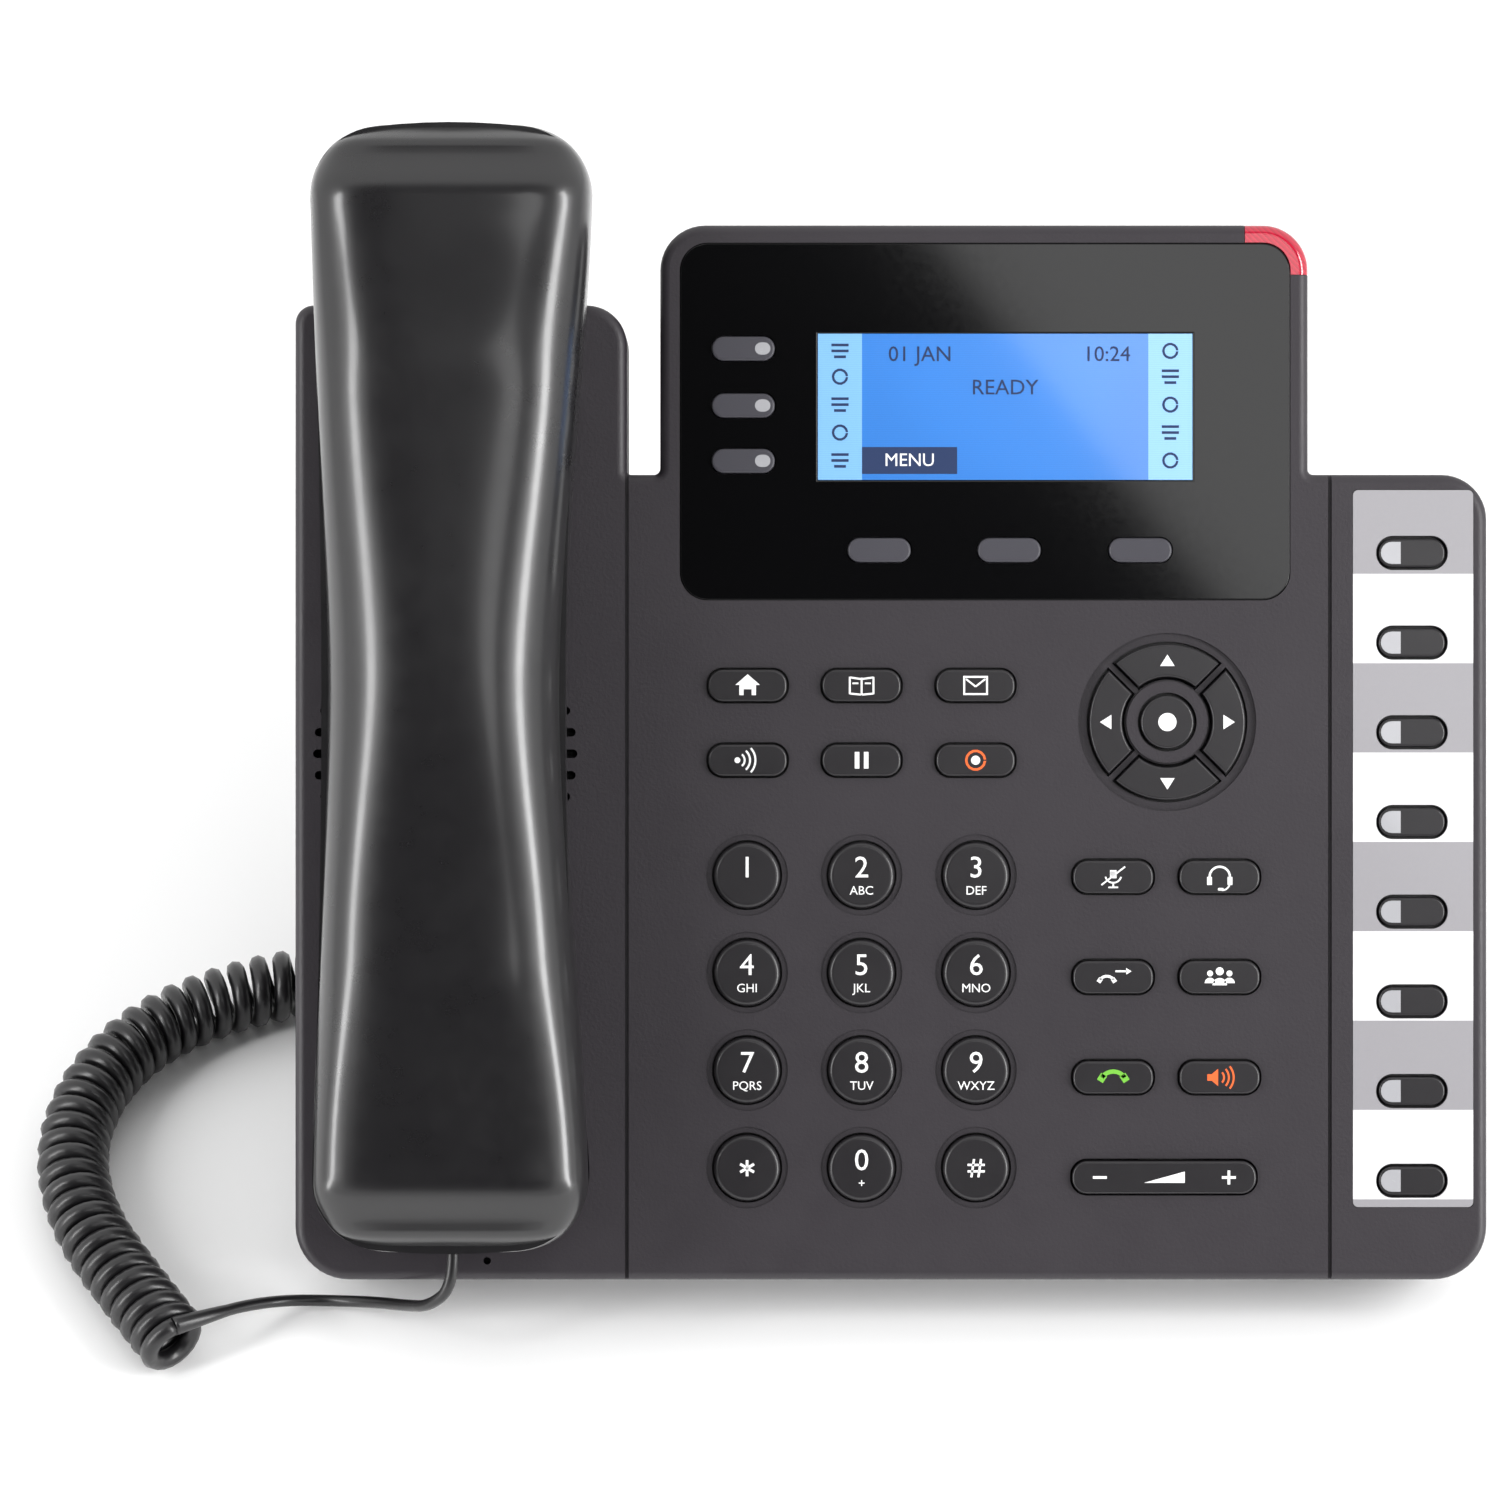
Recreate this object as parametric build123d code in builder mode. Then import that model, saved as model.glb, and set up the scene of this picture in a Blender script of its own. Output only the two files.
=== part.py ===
from build123d import *
import os
from math import cos, pi, radians, sin, tan

os.makedirs("parts", exist_ok=True)

# ---------------------------------------------------------------- driving dimensions (mm)
# The phone's face is a plane tilted up from the desk. On it u runs right, v runs up the
# face from its lower edge and w stands out of it towards the user.
TILT = 45.0                     # face, from the desk
BODY_DEPTH = 26.0               # front face to back face
FACE_Y = -72.70                 # lower front edge of the face, so that the origin is centred
FACE_Z = BODY_DEPTH * cos(radians(TILT))

# outline of the face, in u and v
LEFT, RIGHT = -111.0, 111.0
CRADLE_RIGHT, CRADLE_TOP = -49.2, 181.6
HEAD_LEFT, HEAD_RIGHT, HEAD_TOP = -43.0, 77.7, 196.5
SHOULDER = 150.0                # height of the key field beside the head
BLF_LEFT = 81.7                 # seam of the speed-dial column
FACE_CORNER, HEAD_CORNER, CRADLE_CORNER = 10.0, 8.4, 7.5
EDGE = 1.8                      # rounding of the outer edges
PLATE = 3.0                     # front wall
WALL = 2.2                      # side walls
PARTING = -14.0                 # parting plane of the two housings
BACK_PLATE = 2.4
CLEAR = 0.4                     # gap round every key
SEAM_WIDTH, SEAM_DEPTH = 0.7, 0.9

# display head
WINDOW_U, WINDOW_V, WINDOW_W, WINDOW_H = 17.5, 159.85, 113.6, 66.5
WINDOW_CORNER, WINDOW_THICK = 5.2, 1.6
LCD_U, LCD_V, LCD_W, LCD_H = 21.25, 162.6, 69.7, 27.2
LCD_FRAME = 5.0                 # border of the module behind the window
LAMP_U, LAMP_V = 65.9, 187.2    # inner ends of the corner lamp
LAMP_DEPTH = 6.0

# keys: cap, retaining lip behind the plate, travel
CAP_LOW, LIP_LOW, LIP_HIGH, LIP = -3.9, -3.9, -3.2, 0.8
KEY_EDGE = 0.45
MAT_HIGH, MAT_LOW, BOARD_LOW = -5.1, -6.3, -7.9

# handset, measured along and across its own centre line
HANDSET_U = -81.2
HANDSET_LOW, HANDSET_HIGH = 6.6, 213.5
HANDSET_SPLIT = 22.0            # parting plane of its shells
HANDSET_WALL = 2.0
GRIP_UNDER = 14.0               # underside of the grip above the deck
HALF_SPAN = 40.0                # more than half the handset's width
MOUTH_FACE, EAR_FACE = -4.0, -6.0
MOUTH_POCKET, EAR_POCKET = -4.6, -6.6

# curly cord
COIL_DIAMETER, LEAD_DIAMETER = 14.0, 2.2

FACE = Plane(
    origin=(0, FACE_Y, FACE_Z),
    x_dir=(1, 0, 0),
    z_dir=(0, -sin(radians(TILT)), cos(radians(TILT))),
)
OUT = Axis(FACE.origin, FACE.z_dir)
HANDSET = Plane(origin=FACE.from_local_coords((HANDSET_U, 0, 0)), x_dir=FACE.x_dir, z_dir=FACE.z_dir)
# cross-section plane of the handset: x along the face, y out of it
PROFILE = Plane(origin=HANDSET.origin, x_dir=FACE.y_dir, z_dir=(1, 0, 0))


def face_point(u, v, w):
    """The point of the shared frame at a place on, over or behind the face."""
    return FACE.from_local_coords((u, v, w))


def write(builder, name):
    """Label a finished piece and write its STEP file."""
    builder.part.label = name
    export_step(builder.part, f"parts/{name}.step")


def body_outline(inset=0.0):
    """The outline of the face: cradle, key field with display head, speed-dial column."""
    with BuildSketch() as outline:
        with BuildLine():
            FilletPolyline(
                (LEFT + inset, inset),
                (RIGHT - inset, inset),
                (RIGHT - inset, SHOULDER - inset),
                (HEAD_RIGHT - inset, SHOULDER - inset),
                (HEAD_RIGHT - inset, HEAD_TOP - inset),
                (HEAD_LEFT + inset, HEAD_TOP - inset),
                (HEAD_LEFT + inset, SHOULDER - inset),
                (CRADLE_RIGHT - inset, SHOULDER - inset),
                (CRADLE_RIGHT - inset, CRADLE_TOP - inset),
                (LEFT + inset, CRADLE_TOP - inset),
                radius=[
                    FACE_CORNER - inset, FACE_CORNER - inset, HEAD_CORNER - inset, 1.0 + inset,
                    HEAD_CORNER - inset, HEAD_CORNER - inset, 1.2 + inset, 0.8 + inset,
                    CRADLE_CORNER - inset, 3.4 - inset,
                ],
                close=True,
            )
        make_face()
    return outline.sketch


def handset_outline(grow=0.0):
    """The handset seen from the front: two bowed sides, two domed ends, round corners."""
    low_right, top_right = (25.6 + grow, 9.0 - grow), (26.3 + grow, 210.6 + grow)
    low_left, top_left = (-25.6 - grow, 9.0 - grow), (-25.9 - grow, 210.6 + grow)
    with BuildSketch() as outline:
        with BuildLine():
            ThreePointArc(low_right, (21.2 + grow, 108.0), top_right)
            ThreePointArc(top_right, (0.3, HANDSET_HIGH + grow), top_left)
            ThreePointArc(top_left, (-23.4 - grow, 108.0), low_left)
            ThreePointArc(low_left, (0, HANDSET_LOW - grow), low_right)
        make_face()
        fillet(outline.vertices(), radius=13.0 + grow)
    return outline.sketch


# ---------------------------------------------------------------- where the keys are
LINE_KEYS = {f"line_key_{n + 1}": (-27.5, v) for n, v in enumerate((173.4, 162.8, 152.5))}
SOFT_KEYS = {f"soft_key_{n + 1}": (u, 135.9) for n, u in enumerate((-2.2, 22.0, 46.4))}
FEATURE_NAMES = ("home", "phonebook", "message", "intercom", "hold", "record")
FEATURE_KEYS = {
    f"{name}_key": (-26.7 + 21.2 * (n % 3), 110.7 - 13.9 * (n // 3))
    for n, name in enumerate(FEATURE_NAMES)
}
DIAL_NAMES = [f"digit_{n}_key" for n in range(1, 10)] + ["star_key", "digit_0_key", "hash_key"]
DIAL_KEYS = {
    name: (-26.8 + 21.3 * (n % 3), 75.4 - 18.15 * (n // 3)) for n, name in enumerate(DIAL_NAMES)
}
FUNCTION_NAMES = ("mute", "headset", "transfer", "conference", "send", "speaker")
FUNCTION_KEYS = {
    f"{name}_key": (41.3 + 19.8 * (n % 2), 75.1 - 18.65 * (n // 2))
    for n, name in enumerate(FUNCTION_NAMES)
}
BLF_KEYS = {f"speed_dial_key_{n + 1}": (97.0, 135.4 - 16.7 * n) for n in range(8)}
VOLUME = (50.8, 19.2)
NAV = (51.4, 103.9)

# family: cap width, cap height, corner radius, height of the cap's top over the face
LINE_CAP = (11.7, 4.5, 2.2, 0.7)
FEATURE_CAP = (14.6, 5.9, 2.7, 1.2)
FUNCTION_CAP = (14.9, 6.1, 2.8, 1.2)
BLF_CAP = (12.4, 5.4, 2.6, -0.3)
VOLUME_CAP = (34.2, 6.1, 2.8, 1.2)
DIAL_RADIUS, DIAL_TOP, DIAL_DISH, DIAL_DISH_DEPTH = 6.15, 1.4, 7.6, 0.35
NAV_INNER, NAV_OUTER, NAV_TOP = 8.4, 14.5, 0.7
NAV_DISH, NAV_DISH_DEPTH, NAV_RIB = 16.6, 0.8, 1.0
NAV_COLLAR, OK_RADIUS, OK_HOLE = 7.6, 4.95, 5.5

PILL_FAMILIES = (
    (LINE_KEYS, LINE_CAP),
    (SOFT_KEYS, LINE_CAP),
    (FEATURE_KEYS, FEATURE_CAP),
    (FUNCTION_KEYS, FUNCTION_CAP),
    (BLF_KEYS, BLF_CAP),
)
BOSSES = (
    (-45.2, 12), (-45.2, 126), (77.4, 12), (77.4, 118),
    (-36, 187), (69, 186), (-104.5, 60), (-104.5, 138),
)
BOSS_RADIUS, SCREW_RADIUS, SCREW_HEAD = 3.2, 1.3, 2.6
HOOK = (HANDSET_U, 174.0)
HOOK_W, HOOK_H = 10.0, 6.0
GRILLE = (-83.0, 98.0)
GRILLE_RADIUS, SLOT_PITCH, SLOT_HEIGHT = 24.6, 4.0, 1.6
MIC = (-75.2, 3.6)
LABEL_U, LABEL_V, LABEL_W, LABEL_H, LABEL_THICK = 97.2, 80.35, 22.4, 133.5, 0.8

# sockets in the back, all facing down the back of the phone
PORT_U, PORT_LOW, PORT_HIGH, PORT_W, PORT_FLOOR = 5.0, 42.0, 80.0, 96.0, -10.2
CORD_U, CORD_W, CORD_LOW, CORD_HIGH = -84.0, 20.0, 27.0, 66.0
TUB_WALL = 2.0
SOLDER = 0.05                   # gap between a socket and the board
# socket: u, width, height, cavity width, cavity height, depth of the block
SOCKETS = {
    "lan": (-25.0, 16.0, 13.2, 11.9, 9.4, 16.0),
    "pc": (-3.0, 16.0, 13.2, 11.9, 9.4, 16.0),
    "headset": (19.0, 11.5, 11.0, 7.8, 7.0, 13.0),
}
POWER_U, POWER_W, POWER_H, POWER_RADIUS, POWER_DEPTH = 39.0, 9.4, 11.0, 2.9, 9.5
SOCKET_AXIS_W = -16.4           # middle of every socket, behind the face
CORD_SOCKET_W, CORD_SOCKET_H, CORD_SOCKET_DEPTH = 11.5, 11.0, 13.0


def socket_span(height):
    """How far a socket block stands behind the board."""
    return BOARD_LOW - SOLDER - SOCKET_AXIS_W + height / 2


def socket_place(u, v, height):
    """The middle of a socket block, from the board to its back."""
    return FACE * Location((u, v, BOARD_LOW - SOLDER - socket_span(height) / 2))


def nav_sector(inner, outer, rib, turn):
    """One quarter of the arrow ring, with half a rib cut from each side."""
    reach = 2 * outer
    with BuildSketch() as sector:
        with Locations(NAV):
            Circle(outer)
            Circle(inner, mode=Mode.SUBTRACT)
            Rectangle(3 * outer, rib, rotation=45, mode=Mode.SUBTRACT)
            Rectangle(3 * outer, rib, rotation=-45, mode=Mode.SUBTRACT)
            Polygon(
                (0, 0), (reach, -reach), (reach, reach), rotation=turn, align=None, mode=Mode.INTERSECT
            )
    return sector.sketch


def pill(family, grow=0.0, mode=Mode.ADD):
    """The outline of a pill-shaped key or of its opening."""
    width, height, radius = family[:3]
    RectangleRounded(width + 2 * grow, height + 2 * grow, radius + grow, mode=mode)


# ---------------------------------------------------------------- top housing
with BuildPart() as top_housing:
    with BuildSketch(FACE.offset(PARTING)):
        add(body_outline())
    extrude(amount=-PARTING)
    fillet(top_housing.edges().group_by(OUT)[-1], EDGE)
    # hollow behind the front wall
    with BuildSketch(FACE.offset(PARTING)):
        add(body_outline(WALL))
    extrude(amount=-PARTING - PLATE, mode=Mode.SUBTRACT)
    # tubs behind the two handset pockets
    for pocket_low, pocket_high, floor in ((0, 50.5, MOUTH_POCKET), (163, 190, EAR_POCKET)):
        with BuildSketch(FACE.offset(floor - WALL)):
            add(body_outline(WALL / 2))
            with Locations((HANDSET_U, (pocket_low + pocket_high) / 2)):
                Rectangle(70, pocket_high - pocket_low, mode=Mode.INTERSECT)
            with Locations((CRADLE_RIGHT, 100)):
                Rectangle(2 * 3.4, 300, mode=Mode.SUBTRACT)
        extrude(amount=-floor)
    for pocket_low, pocket_high, floor in ((0, 48.5, MOUTH_POCKET), (165, 220, EAR_POCKET)):
        with BuildSketch(HANDSET.offset(floor)):
            add(handset_outline(0.5))
            with Locations((0, (pocket_low + pocket_high) / 2)):
                Rectangle(80, pocket_high - pocket_low, mode=Mode.INTERSECT)
        extrude(amount=20, mode=Mode.SUBTRACT)
    # bosses for the housing screws
    with BuildSketch(FACE.offset(PARTING)):
        with Locations(*BOSSES):
            Circle(BOSS_RADIUS)
            Circle(SCREW_RADIUS, mode=Mode.SUBTRACT)
    extrude(amount=-PARTING - PLATE + 0.2)
    # recess and openings of the display window
    with BuildSketch(FACE.offset(-WINDOW_THICK)):
        with Locations((WINDOW_U, WINDOW_V)):
            RectangleRounded(WINDOW_W + 0.1, WINDOW_H + 0.1, WINDOW_CORNER)
    extrude(amount=2 * WINDOW_THICK, mode=Mode.SUBTRACT)
    with BuildSketch(FACE.offset(-PLATE - 1)):
        with Locations((LCD_U, LCD_V)):
            Rectangle(LCD_W + 1, LCD_H + 1)
    extrude(amount=PLATE + 2, mode=Mode.SUBTRACT)
    # corner left free for the message lamp
    with BuildSketch(FACE.offset(-LAMP_DEPTH - 0.1)):
        with Locations((LAMP_U - 0.1, LAMP_V - 0.1)):
            Rectangle(40, 40, align=(Align.MIN, Align.MIN))
        with Locations((WINDOW_U, WINDOW_V)):
            RectangleRounded(WINDOW_W + 0.1, WINDOW_H + 0.1, WINDOW_CORNER, mode=Mode.SUBTRACT)
    extrude(amount=2 * LAMP_DEPTH, mode=Mode.SUBTRACT)
    # recess of the label strip
    with BuildSketch(FACE.offset(-LABEL_THICK)):
        with Locations((LABEL_U, LABEL_V)):
            RectangleRounded(LABEL_W + 0.2, LABEL_H + 0.2, 1.0)
    extrude(amount=2 * LABEL_THICK, mode=Mode.SUBTRACT)
    # soft dishes round the dial keys, shallow dish of the arrow keys
    with BuildSketch(FACE.offset(-DIAL_DISH_DEPTH)):
        with Locations(*DIAL_KEYS.values()):
            Circle(DIAL_DISH)
    extrude(amount=DIAL_DISH_DEPTH, mode=Mode.SUBTRACT)
    with BuildSketch(FACE.offset(-NAV_DISH_DEPTH)):
        with Locations(NAV):
            Circle(NAV_DISH)
            Circle(NAV_COLLAR, mode=Mode.SUBTRACT)
    extrude(amount=NAV_DISH_DEPTH, mode=Mode.SUBTRACT)
    # key openings
    with BuildSketch(FACE.offset(-PLATE - 1)):
        for places, family in PILL_FAMILIES + (({"volume": VOLUME}, VOLUME_CAP),):
            with Locations(*places.values()):
                pill(family, CLEAR)
        with Locations(*DIAL_KEYS.values()):
            Circle(DIAL_RADIUS + CLEAR)
        with Locations(NAV):
            Circle(OK_HOLE)
        with Locations(HOOK):
            Rectangle(HOOK_W + 2 * CLEAR, HOOK_H + 2 * CLEAR)
    extrude(amount=PLATE + 2, mode=Mode.SUBTRACT)
    for turn in range(0, 360, 90):
        with BuildSketch(FACE.offset(-PLATE - 1)):
            add(nav_sector(NAV_INNER - 0.5, NAV_OUTER + 0.5, NAV_RIB, turn))
        extrude(amount=PLATE + 2, mode=Mode.SUBTRACT)
    # hook switch opening through the floor of the ear pocket
    with BuildSketch(FACE.offset(PARTING)):
        with Locations(HOOK):
            Rectangle(HOOK_W + 2 * CLEAR, HOOK_H + 2 * CLEAR)
    extrude(amount=20, mode=Mode.SUBTRACT)
    # speaker grille: slots across a circle, and the microphone hole
    with BuildSketch(FACE.offset(-PLATE - 1)):
        for row in range(-5, 6):
            half = (GRILLE_RADIUS**2 - (row * SLOT_PITCH) ** 2) ** 0.5
            with Locations((GRILLE[0], GRILLE[1] + row * SLOT_PITCH)):
                SlotOverall(2 * half, SLOT_HEIGHT)
        with Locations(MIC):
            Circle(0.7)
    extrude(amount=PLATE + 2, mode=Mode.SUBTRACT)
    # seams between the cradle, the key field and the speed-dial column
    with BuildSketch(FACE.offset(-SEAM_DEPTH)):
        for seam in (CRADLE_RIGHT, BLF_LEFT):
            with Locations((seam, SHOULDER / 2)):
                Rectangle(SEAM_WIDTH, SHOULDER + 4)
    extrude(amount=2 * SEAM_DEPTH, mode=Mode.SUBTRACT)
write(top_housing, "top_housing")

# ---------------------------------------------------------------- bottom housing
KEYHOLES = ((-24.0, 172.0), (59.0, 172.0))
FOOT_X, FOOT_Y = 82.0, FACE_Y + FACE_Z + 4.0
TABS = ((-40, 116), (-40, 142), (50, 116), (50, 142))
with BuildPart() as bottom_housing:
    with BuildSketch(FACE.offset(-BODY_DEPTH)):
        add(body_outline())
    extrude(amount=BODY_DEPTH + PARTING - 0.05)
    fillet(bottom_housing.edges().group_by(OUT)[0], EDGE + 0.7)
    with BuildSketch(FACE.offset(-BODY_DEPTH + BACK_PLATE)):
        add(body_outline(WALL))
    extrude(amount=BODY_DEPTH, mode=Mode.SUBTRACT)
    # tubs that give the sockets their recesses
    with BuildSketch(FACE.offset(-BODY_DEPTH + 0.5)):
        with Locations((PORT_U, (PORT_LOW + PORT_HIGH) / 2)):
            Rectangle(PORT_W + 2 * TUB_WALL, PORT_HIGH - PORT_LOW + 2 * TUB_WALL)
        with Locations((CORD_U, (CORD_LOW + CORD_HIGH) / 2)):
            Rectangle(CORD_W + 2 * TUB_WALL, CORD_HIGH - CORD_LOW + 2 * TUB_WALL)
    extrude(amount=BODY_DEPTH - 0.5 + PORT_FLOOR + TUB_WALL)
    with BuildSketch(FACE.offset(-BODY_DEPTH - 1)):
        with Locations((PORT_U, (PORT_LOW + PORT_HIGH) / 2)):
            Rectangle(PORT_W, PORT_HIGH - PORT_LOW)
        with Locations((CORD_U, (CORD_LOW + CORD_HIGH) / 2)):
            Rectangle(CORD_W, CORD_HIGH - CORD_LOW)
    extrude(amount=BODY_DEPTH + 1 + PORT_FLOOR, mode=Mode.SUBTRACT)
    # windows in the tubs' upper walls, where the socket blocks come through
    for u, width, height, *_ in SOCKETS.values():
        with Locations(socket_place(u, PORT_HIGH, height)):
            Box(width + 0.3, 3 * TUB_WALL, socket_span(height) + 0.6, mode=Mode.SUBTRACT)
    with Locations(socket_place(POWER_U, PORT_HIGH, POWER_H)):
        Box(POWER_W + 0.3, 3 * TUB_WALL, socket_span(POWER_H) + 0.6, mode=Mode.SUBTRACT)
    with Locations(socket_place(CORD_U, CORD_HIGH, CORD_SOCKET_H)):
        Box(CORD_SOCKET_W + 0.3, 3 * TUB_WALL, socket_span(CORD_SOCKET_H) + 0.6, mode=Mode.SUBTRACT)
    # screw bosses with countersunk pockets
    with BuildSketch(FACE.offset(-BODY_DEPTH + 0.5)):
        with Locations(*BOSSES):
            Circle(BOSS_RADIUS + 0.6)
    extrude(amount=BODY_DEPTH + PARTING - 0.55)
    with BuildSketch(FACE.offset(-BODY_DEPTH - 1)):
        with Locations(*BOSSES):
            Circle(SCREW_RADIUS + 0.15)
    extrude(amount=BODY_DEPTH, mode=Mode.SUBTRACT)
    with BuildSketch(FACE.offset(-BODY_DEPTH - 1)):
        with Locations(*BOSSES):
            Circle(SCREW_HEAD + 0.2)
    extrude(amount=4.0, mode=Mode.SUBTRACT)
    # wall keyholes, stand slots and cooling slots through the back
    with BuildSketch(FACE.offset(-BODY_DEPTH - 1)):
        with Locations(*KEYHOLES):
            Circle(4.2)
        with Locations(*[(u, v + 5) for u, v in KEYHOLES]):
            SlotOverall(12, 4.2, rotation=90)
        with Locations(*TABS):
            Rectangle(10.4, 3.4)
        with Locations(*[(u, 24.0) for u in range(-30, 51, 8)]):
            SlotOverall(14, 2.0, rotation=90)
    extrude(amount=BACK_PLATE + 1.5, mode=Mode.SUBTRACT)
    # two moulded feet under the lower back edge
    with BuildSketch(Plane.XY):
        with Locations((-FOOT_X, FOOT_Y), (FOOT_X, FOOT_Y)):
            RectangleRounded(22, 9, 2)
    extrude(amount=2.6)
write(bottom_housing, "bottom_housing")

# ---------------------------------------------------------------- display head
with BuildPart() as display_window:
    with BuildSketch(FACE.offset(-WINDOW_THICK)):
        with Locations((WINDOW_U, WINDOW_V)):
            RectangleRounded(WINDOW_W, WINDOW_H, WINDOW_CORNER)
        with Locations((LCD_U, LCD_V)):
            Rectangle(LCD_W + 0.1, LCD_H + 0.1, mode=Mode.SUBTRACT)
        with Locations(*LINE_KEYS.values(), *SOFT_KEYS.values()):
            RectangleRounded(LINE_CAP[0] + 0.5, LINE_CAP[1] + 0.5, LINE_CAP[2] + 0.25, mode=Mode.SUBTRACT)
    extrude(amount=WINDOW_THICK)
    fillet(display_window.edges().group_by(OUT)[-1].sort_by(SortBy.LENGTH)[-8:], 0.3)
write(display_window, "display_window")

with BuildPart() as lcd_module:
    with BuildSketch(FACE.offset(-3.2)):
        with Locations((LCD_U, LCD_V)):
            Rectangle(LCD_W, LCD_H)
    extrude(amount=3.1)
    with BuildSketch(FACE.offset(MAT_LOW)):
        with Locations((LCD_U, LCD_V)):
            RectangleRounded(LCD_W + 2 * LCD_FRAME, LCD_H + 2 * LCD_FRAME, 1.5)
    extrude(amount=-3.2 - MAT_LOW)
write(lcd_module, "lcd_module")

with BuildPart() as message_lamp:
    with BuildSketch(FACE.offset(PARTING)):
        add(body_outline())
    extrude(amount=-PARTING)
    fillet(message_lamp.edges().group_by(OUT)[-1], EDGE)
    with BuildSketch(FACE.offset(-LAMP_DEPTH)):
        with Locations((LAMP_U, LAMP_V)):
            Rectangle(40, 40, align=(Align.MIN, Align.MIN))
        with Locations((WINDOW_U, WINDOW_V)):
            RectangleRounded(WINDOW_W + 0.2, WINDOW_H + 0.2, WINDOW_CORNER, mode=Mode.SUBTRACT)
    extrude(amount=LAMP_DEPTH, mode=Mode.INTERSECT)
write(message_lamp, "message_lamp")

with BuildPart() as label_strip:
    with BuildSketch(FACE.offset(-LABEL_THICK)):
        with Locations((LABEL_U, LABEL_V)):
            RectangleRounded(LABEL_W, LABEL_H, 1.0)
        with Locations(*BLF_KEYS.values()):
            pill(BLF_CAP, CLEAR + 0.1, mode=Mode.SUBTRACT)
    extrude(amount=LABEL_THICK - 0.05)
write(label_strip, "label_strip")

# ---------------------------------------------------------------- keys
for places, family in PILL_FAMILIES:
    top = family[3]
    for name, place in places.items():
        with BuildPart() as key:
            with BuildSketch(FACE.offset(CAP_LOW)):
                with Locations(place):
                    pill(family)
            extrude(amount=top - CAP_LOW)
            fillet(key.edges().group_by(OUT)[-1], KEY_EDGE)
            with BuildSketch(FACE.offset(LIP_LOW)):
                with Locations(place):
                    pill(family, LIP)
            extrude(amount=LIP_HIGH - LIP_LOW)
        write(key, name)

for name, place in DIAL_KEYS.items():
    with BuildPart() as key:
        with BuildSketch(FACE.offset(CAP_LOW)):
            with Locations(place):
                Circle(DIAL_RADIUS)
        extrude(amount=DIAL_TOP - CAP_LOW)
        fillet(key.edges().group_by(OUT)[-1], 2 * KEY_EDGE)
        with BuildSketch(FACE.offset(LIP_LOW)):
            with Locations(place):
                Circle(DIAL_RADIUS + LIP)
        extrude(amount=LIP_HIGH - LIP_LOW)
    write(key, name)

for turn, name in enumerate(("nav_right_key", "nav_up_key", "nav_left_key", "nav_down_key")):
    with BuildPart() as key:
        with BuildSketch(FACE.offset(CAP_LOW)):
            add(nav_sector(NAV_INNER, NAV_OUTER, NAV_RIB + 2 * CLEAR, 90 * turn))
        extrude(amount=NAV_TOP - CAP_LOW)
        fillet(key.edges().group_by(OUT)[-1], KEY_EDGE)
        with BuildSketch(FACE.offset(LIP_LOW)):
            add(nav_sector(NAV_INNER, NAV_OUTER + 1.3, NAV_RIB + 2 * CLEAR, 90 * turn))
        extrude(amount=LIP_HIGH - LIP_LOW)
    write(key, name)

with BuildPart() as ok_key:
    with BuildSketch(FACE.offset(CAP_LOW)):
        with Locations(NAV):
            Circle(OK_RADIUS)
    extrude(amount=NAV_TOP - CAP_LOW)
    fillet(ok_key.edges().group_by(OUT)[-1], KEY_EDGE)
    with BuildSketch(FACE.offset(LIP_LOW)):
        with Locations(NAV):
            Circle(OK_HOLE + 0.6)
    extrude(amount=LIP_HIGH - LIP_LOW)
write(ok_key, "ok_key")

with BuildPart() as volume_key:
    with BuildSketch(FACE.offset(CAP_LOW)):
        with Locations(VOLUME):
            pill(VOLUME_CAP)
    extrude(amount=VOLUME_CAP[3] - CAP_LOW)
    fillet(volume_key.edges().group_by(OUT)[-1], KEY_EDGE)
    # short lips by the pivot, so that the rocker can tip
    with BuildSketch(FACE.offset(LIP_LOW)):
        with Locations(VOLUME):
            Rectangle(9.0, VOLUME_CAP[1] + 2 * LIP)
    extrude(amount=LIP_HIGH - LIP_LOW - 0.1)
write(volume_key, "volume_key")

HOOK_TOP = EAR_FACE - 0.3
with BuildPart() as hook_switch:
    with BuildSketch(FACE.offset(-12.6)):
        with Locations(HOOK):
            Rectangle(HOOK_W, HOOK_H)
    extrude(amount=HOOK_TOP + 12.6)
    fillet(hook_switch.edges().group_by(OUT)[-1], 0.25)
    with BuildSketch(FACE.offset(-14.0)):
        with Locations(HOOK):
            Rectangle(HOOK_W + 3, HOOK_H + 3)
    extrude(amount=1.4)
write(hook_switch, "hook_switch")

# ---------------------------------------------------------------- mat, board, sockets, loudspeaker
INNER_BOSSES = [place for place in BOSSES if -43 < place[0] < 80]
with BuildPart() as keypad_mat:
    with BuildSketch(FACE.offset(MAT_LOW)):
        with Locations((15.6, 75.5)):
            Rectangle(112.0, 135.0)
        with Locations((97.0, 77.0)):
            Rectangle(22.0, 134.0)
        with Locations((-27.5, 162.9)):
            Rectangle(16.0, 34.0)
        with Locations(*INNER_BOSSES):
            Circle(BOSS_RADIUS + 0.6, mode=Mode.SUBTRACT)
        with Locations((80.0, 118.0), (80.0, 12.0)):
            Rectangle(12.0, 8.0, mode=Mode.SUBTRACT)
        with Locations((80.0, 70.0)):
            Rectangle(16.0, 8.0)
    extrude(amount=MAT_HIGH - MAT_LOW)
write(keypad_mat, "keypad_mat")

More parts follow.
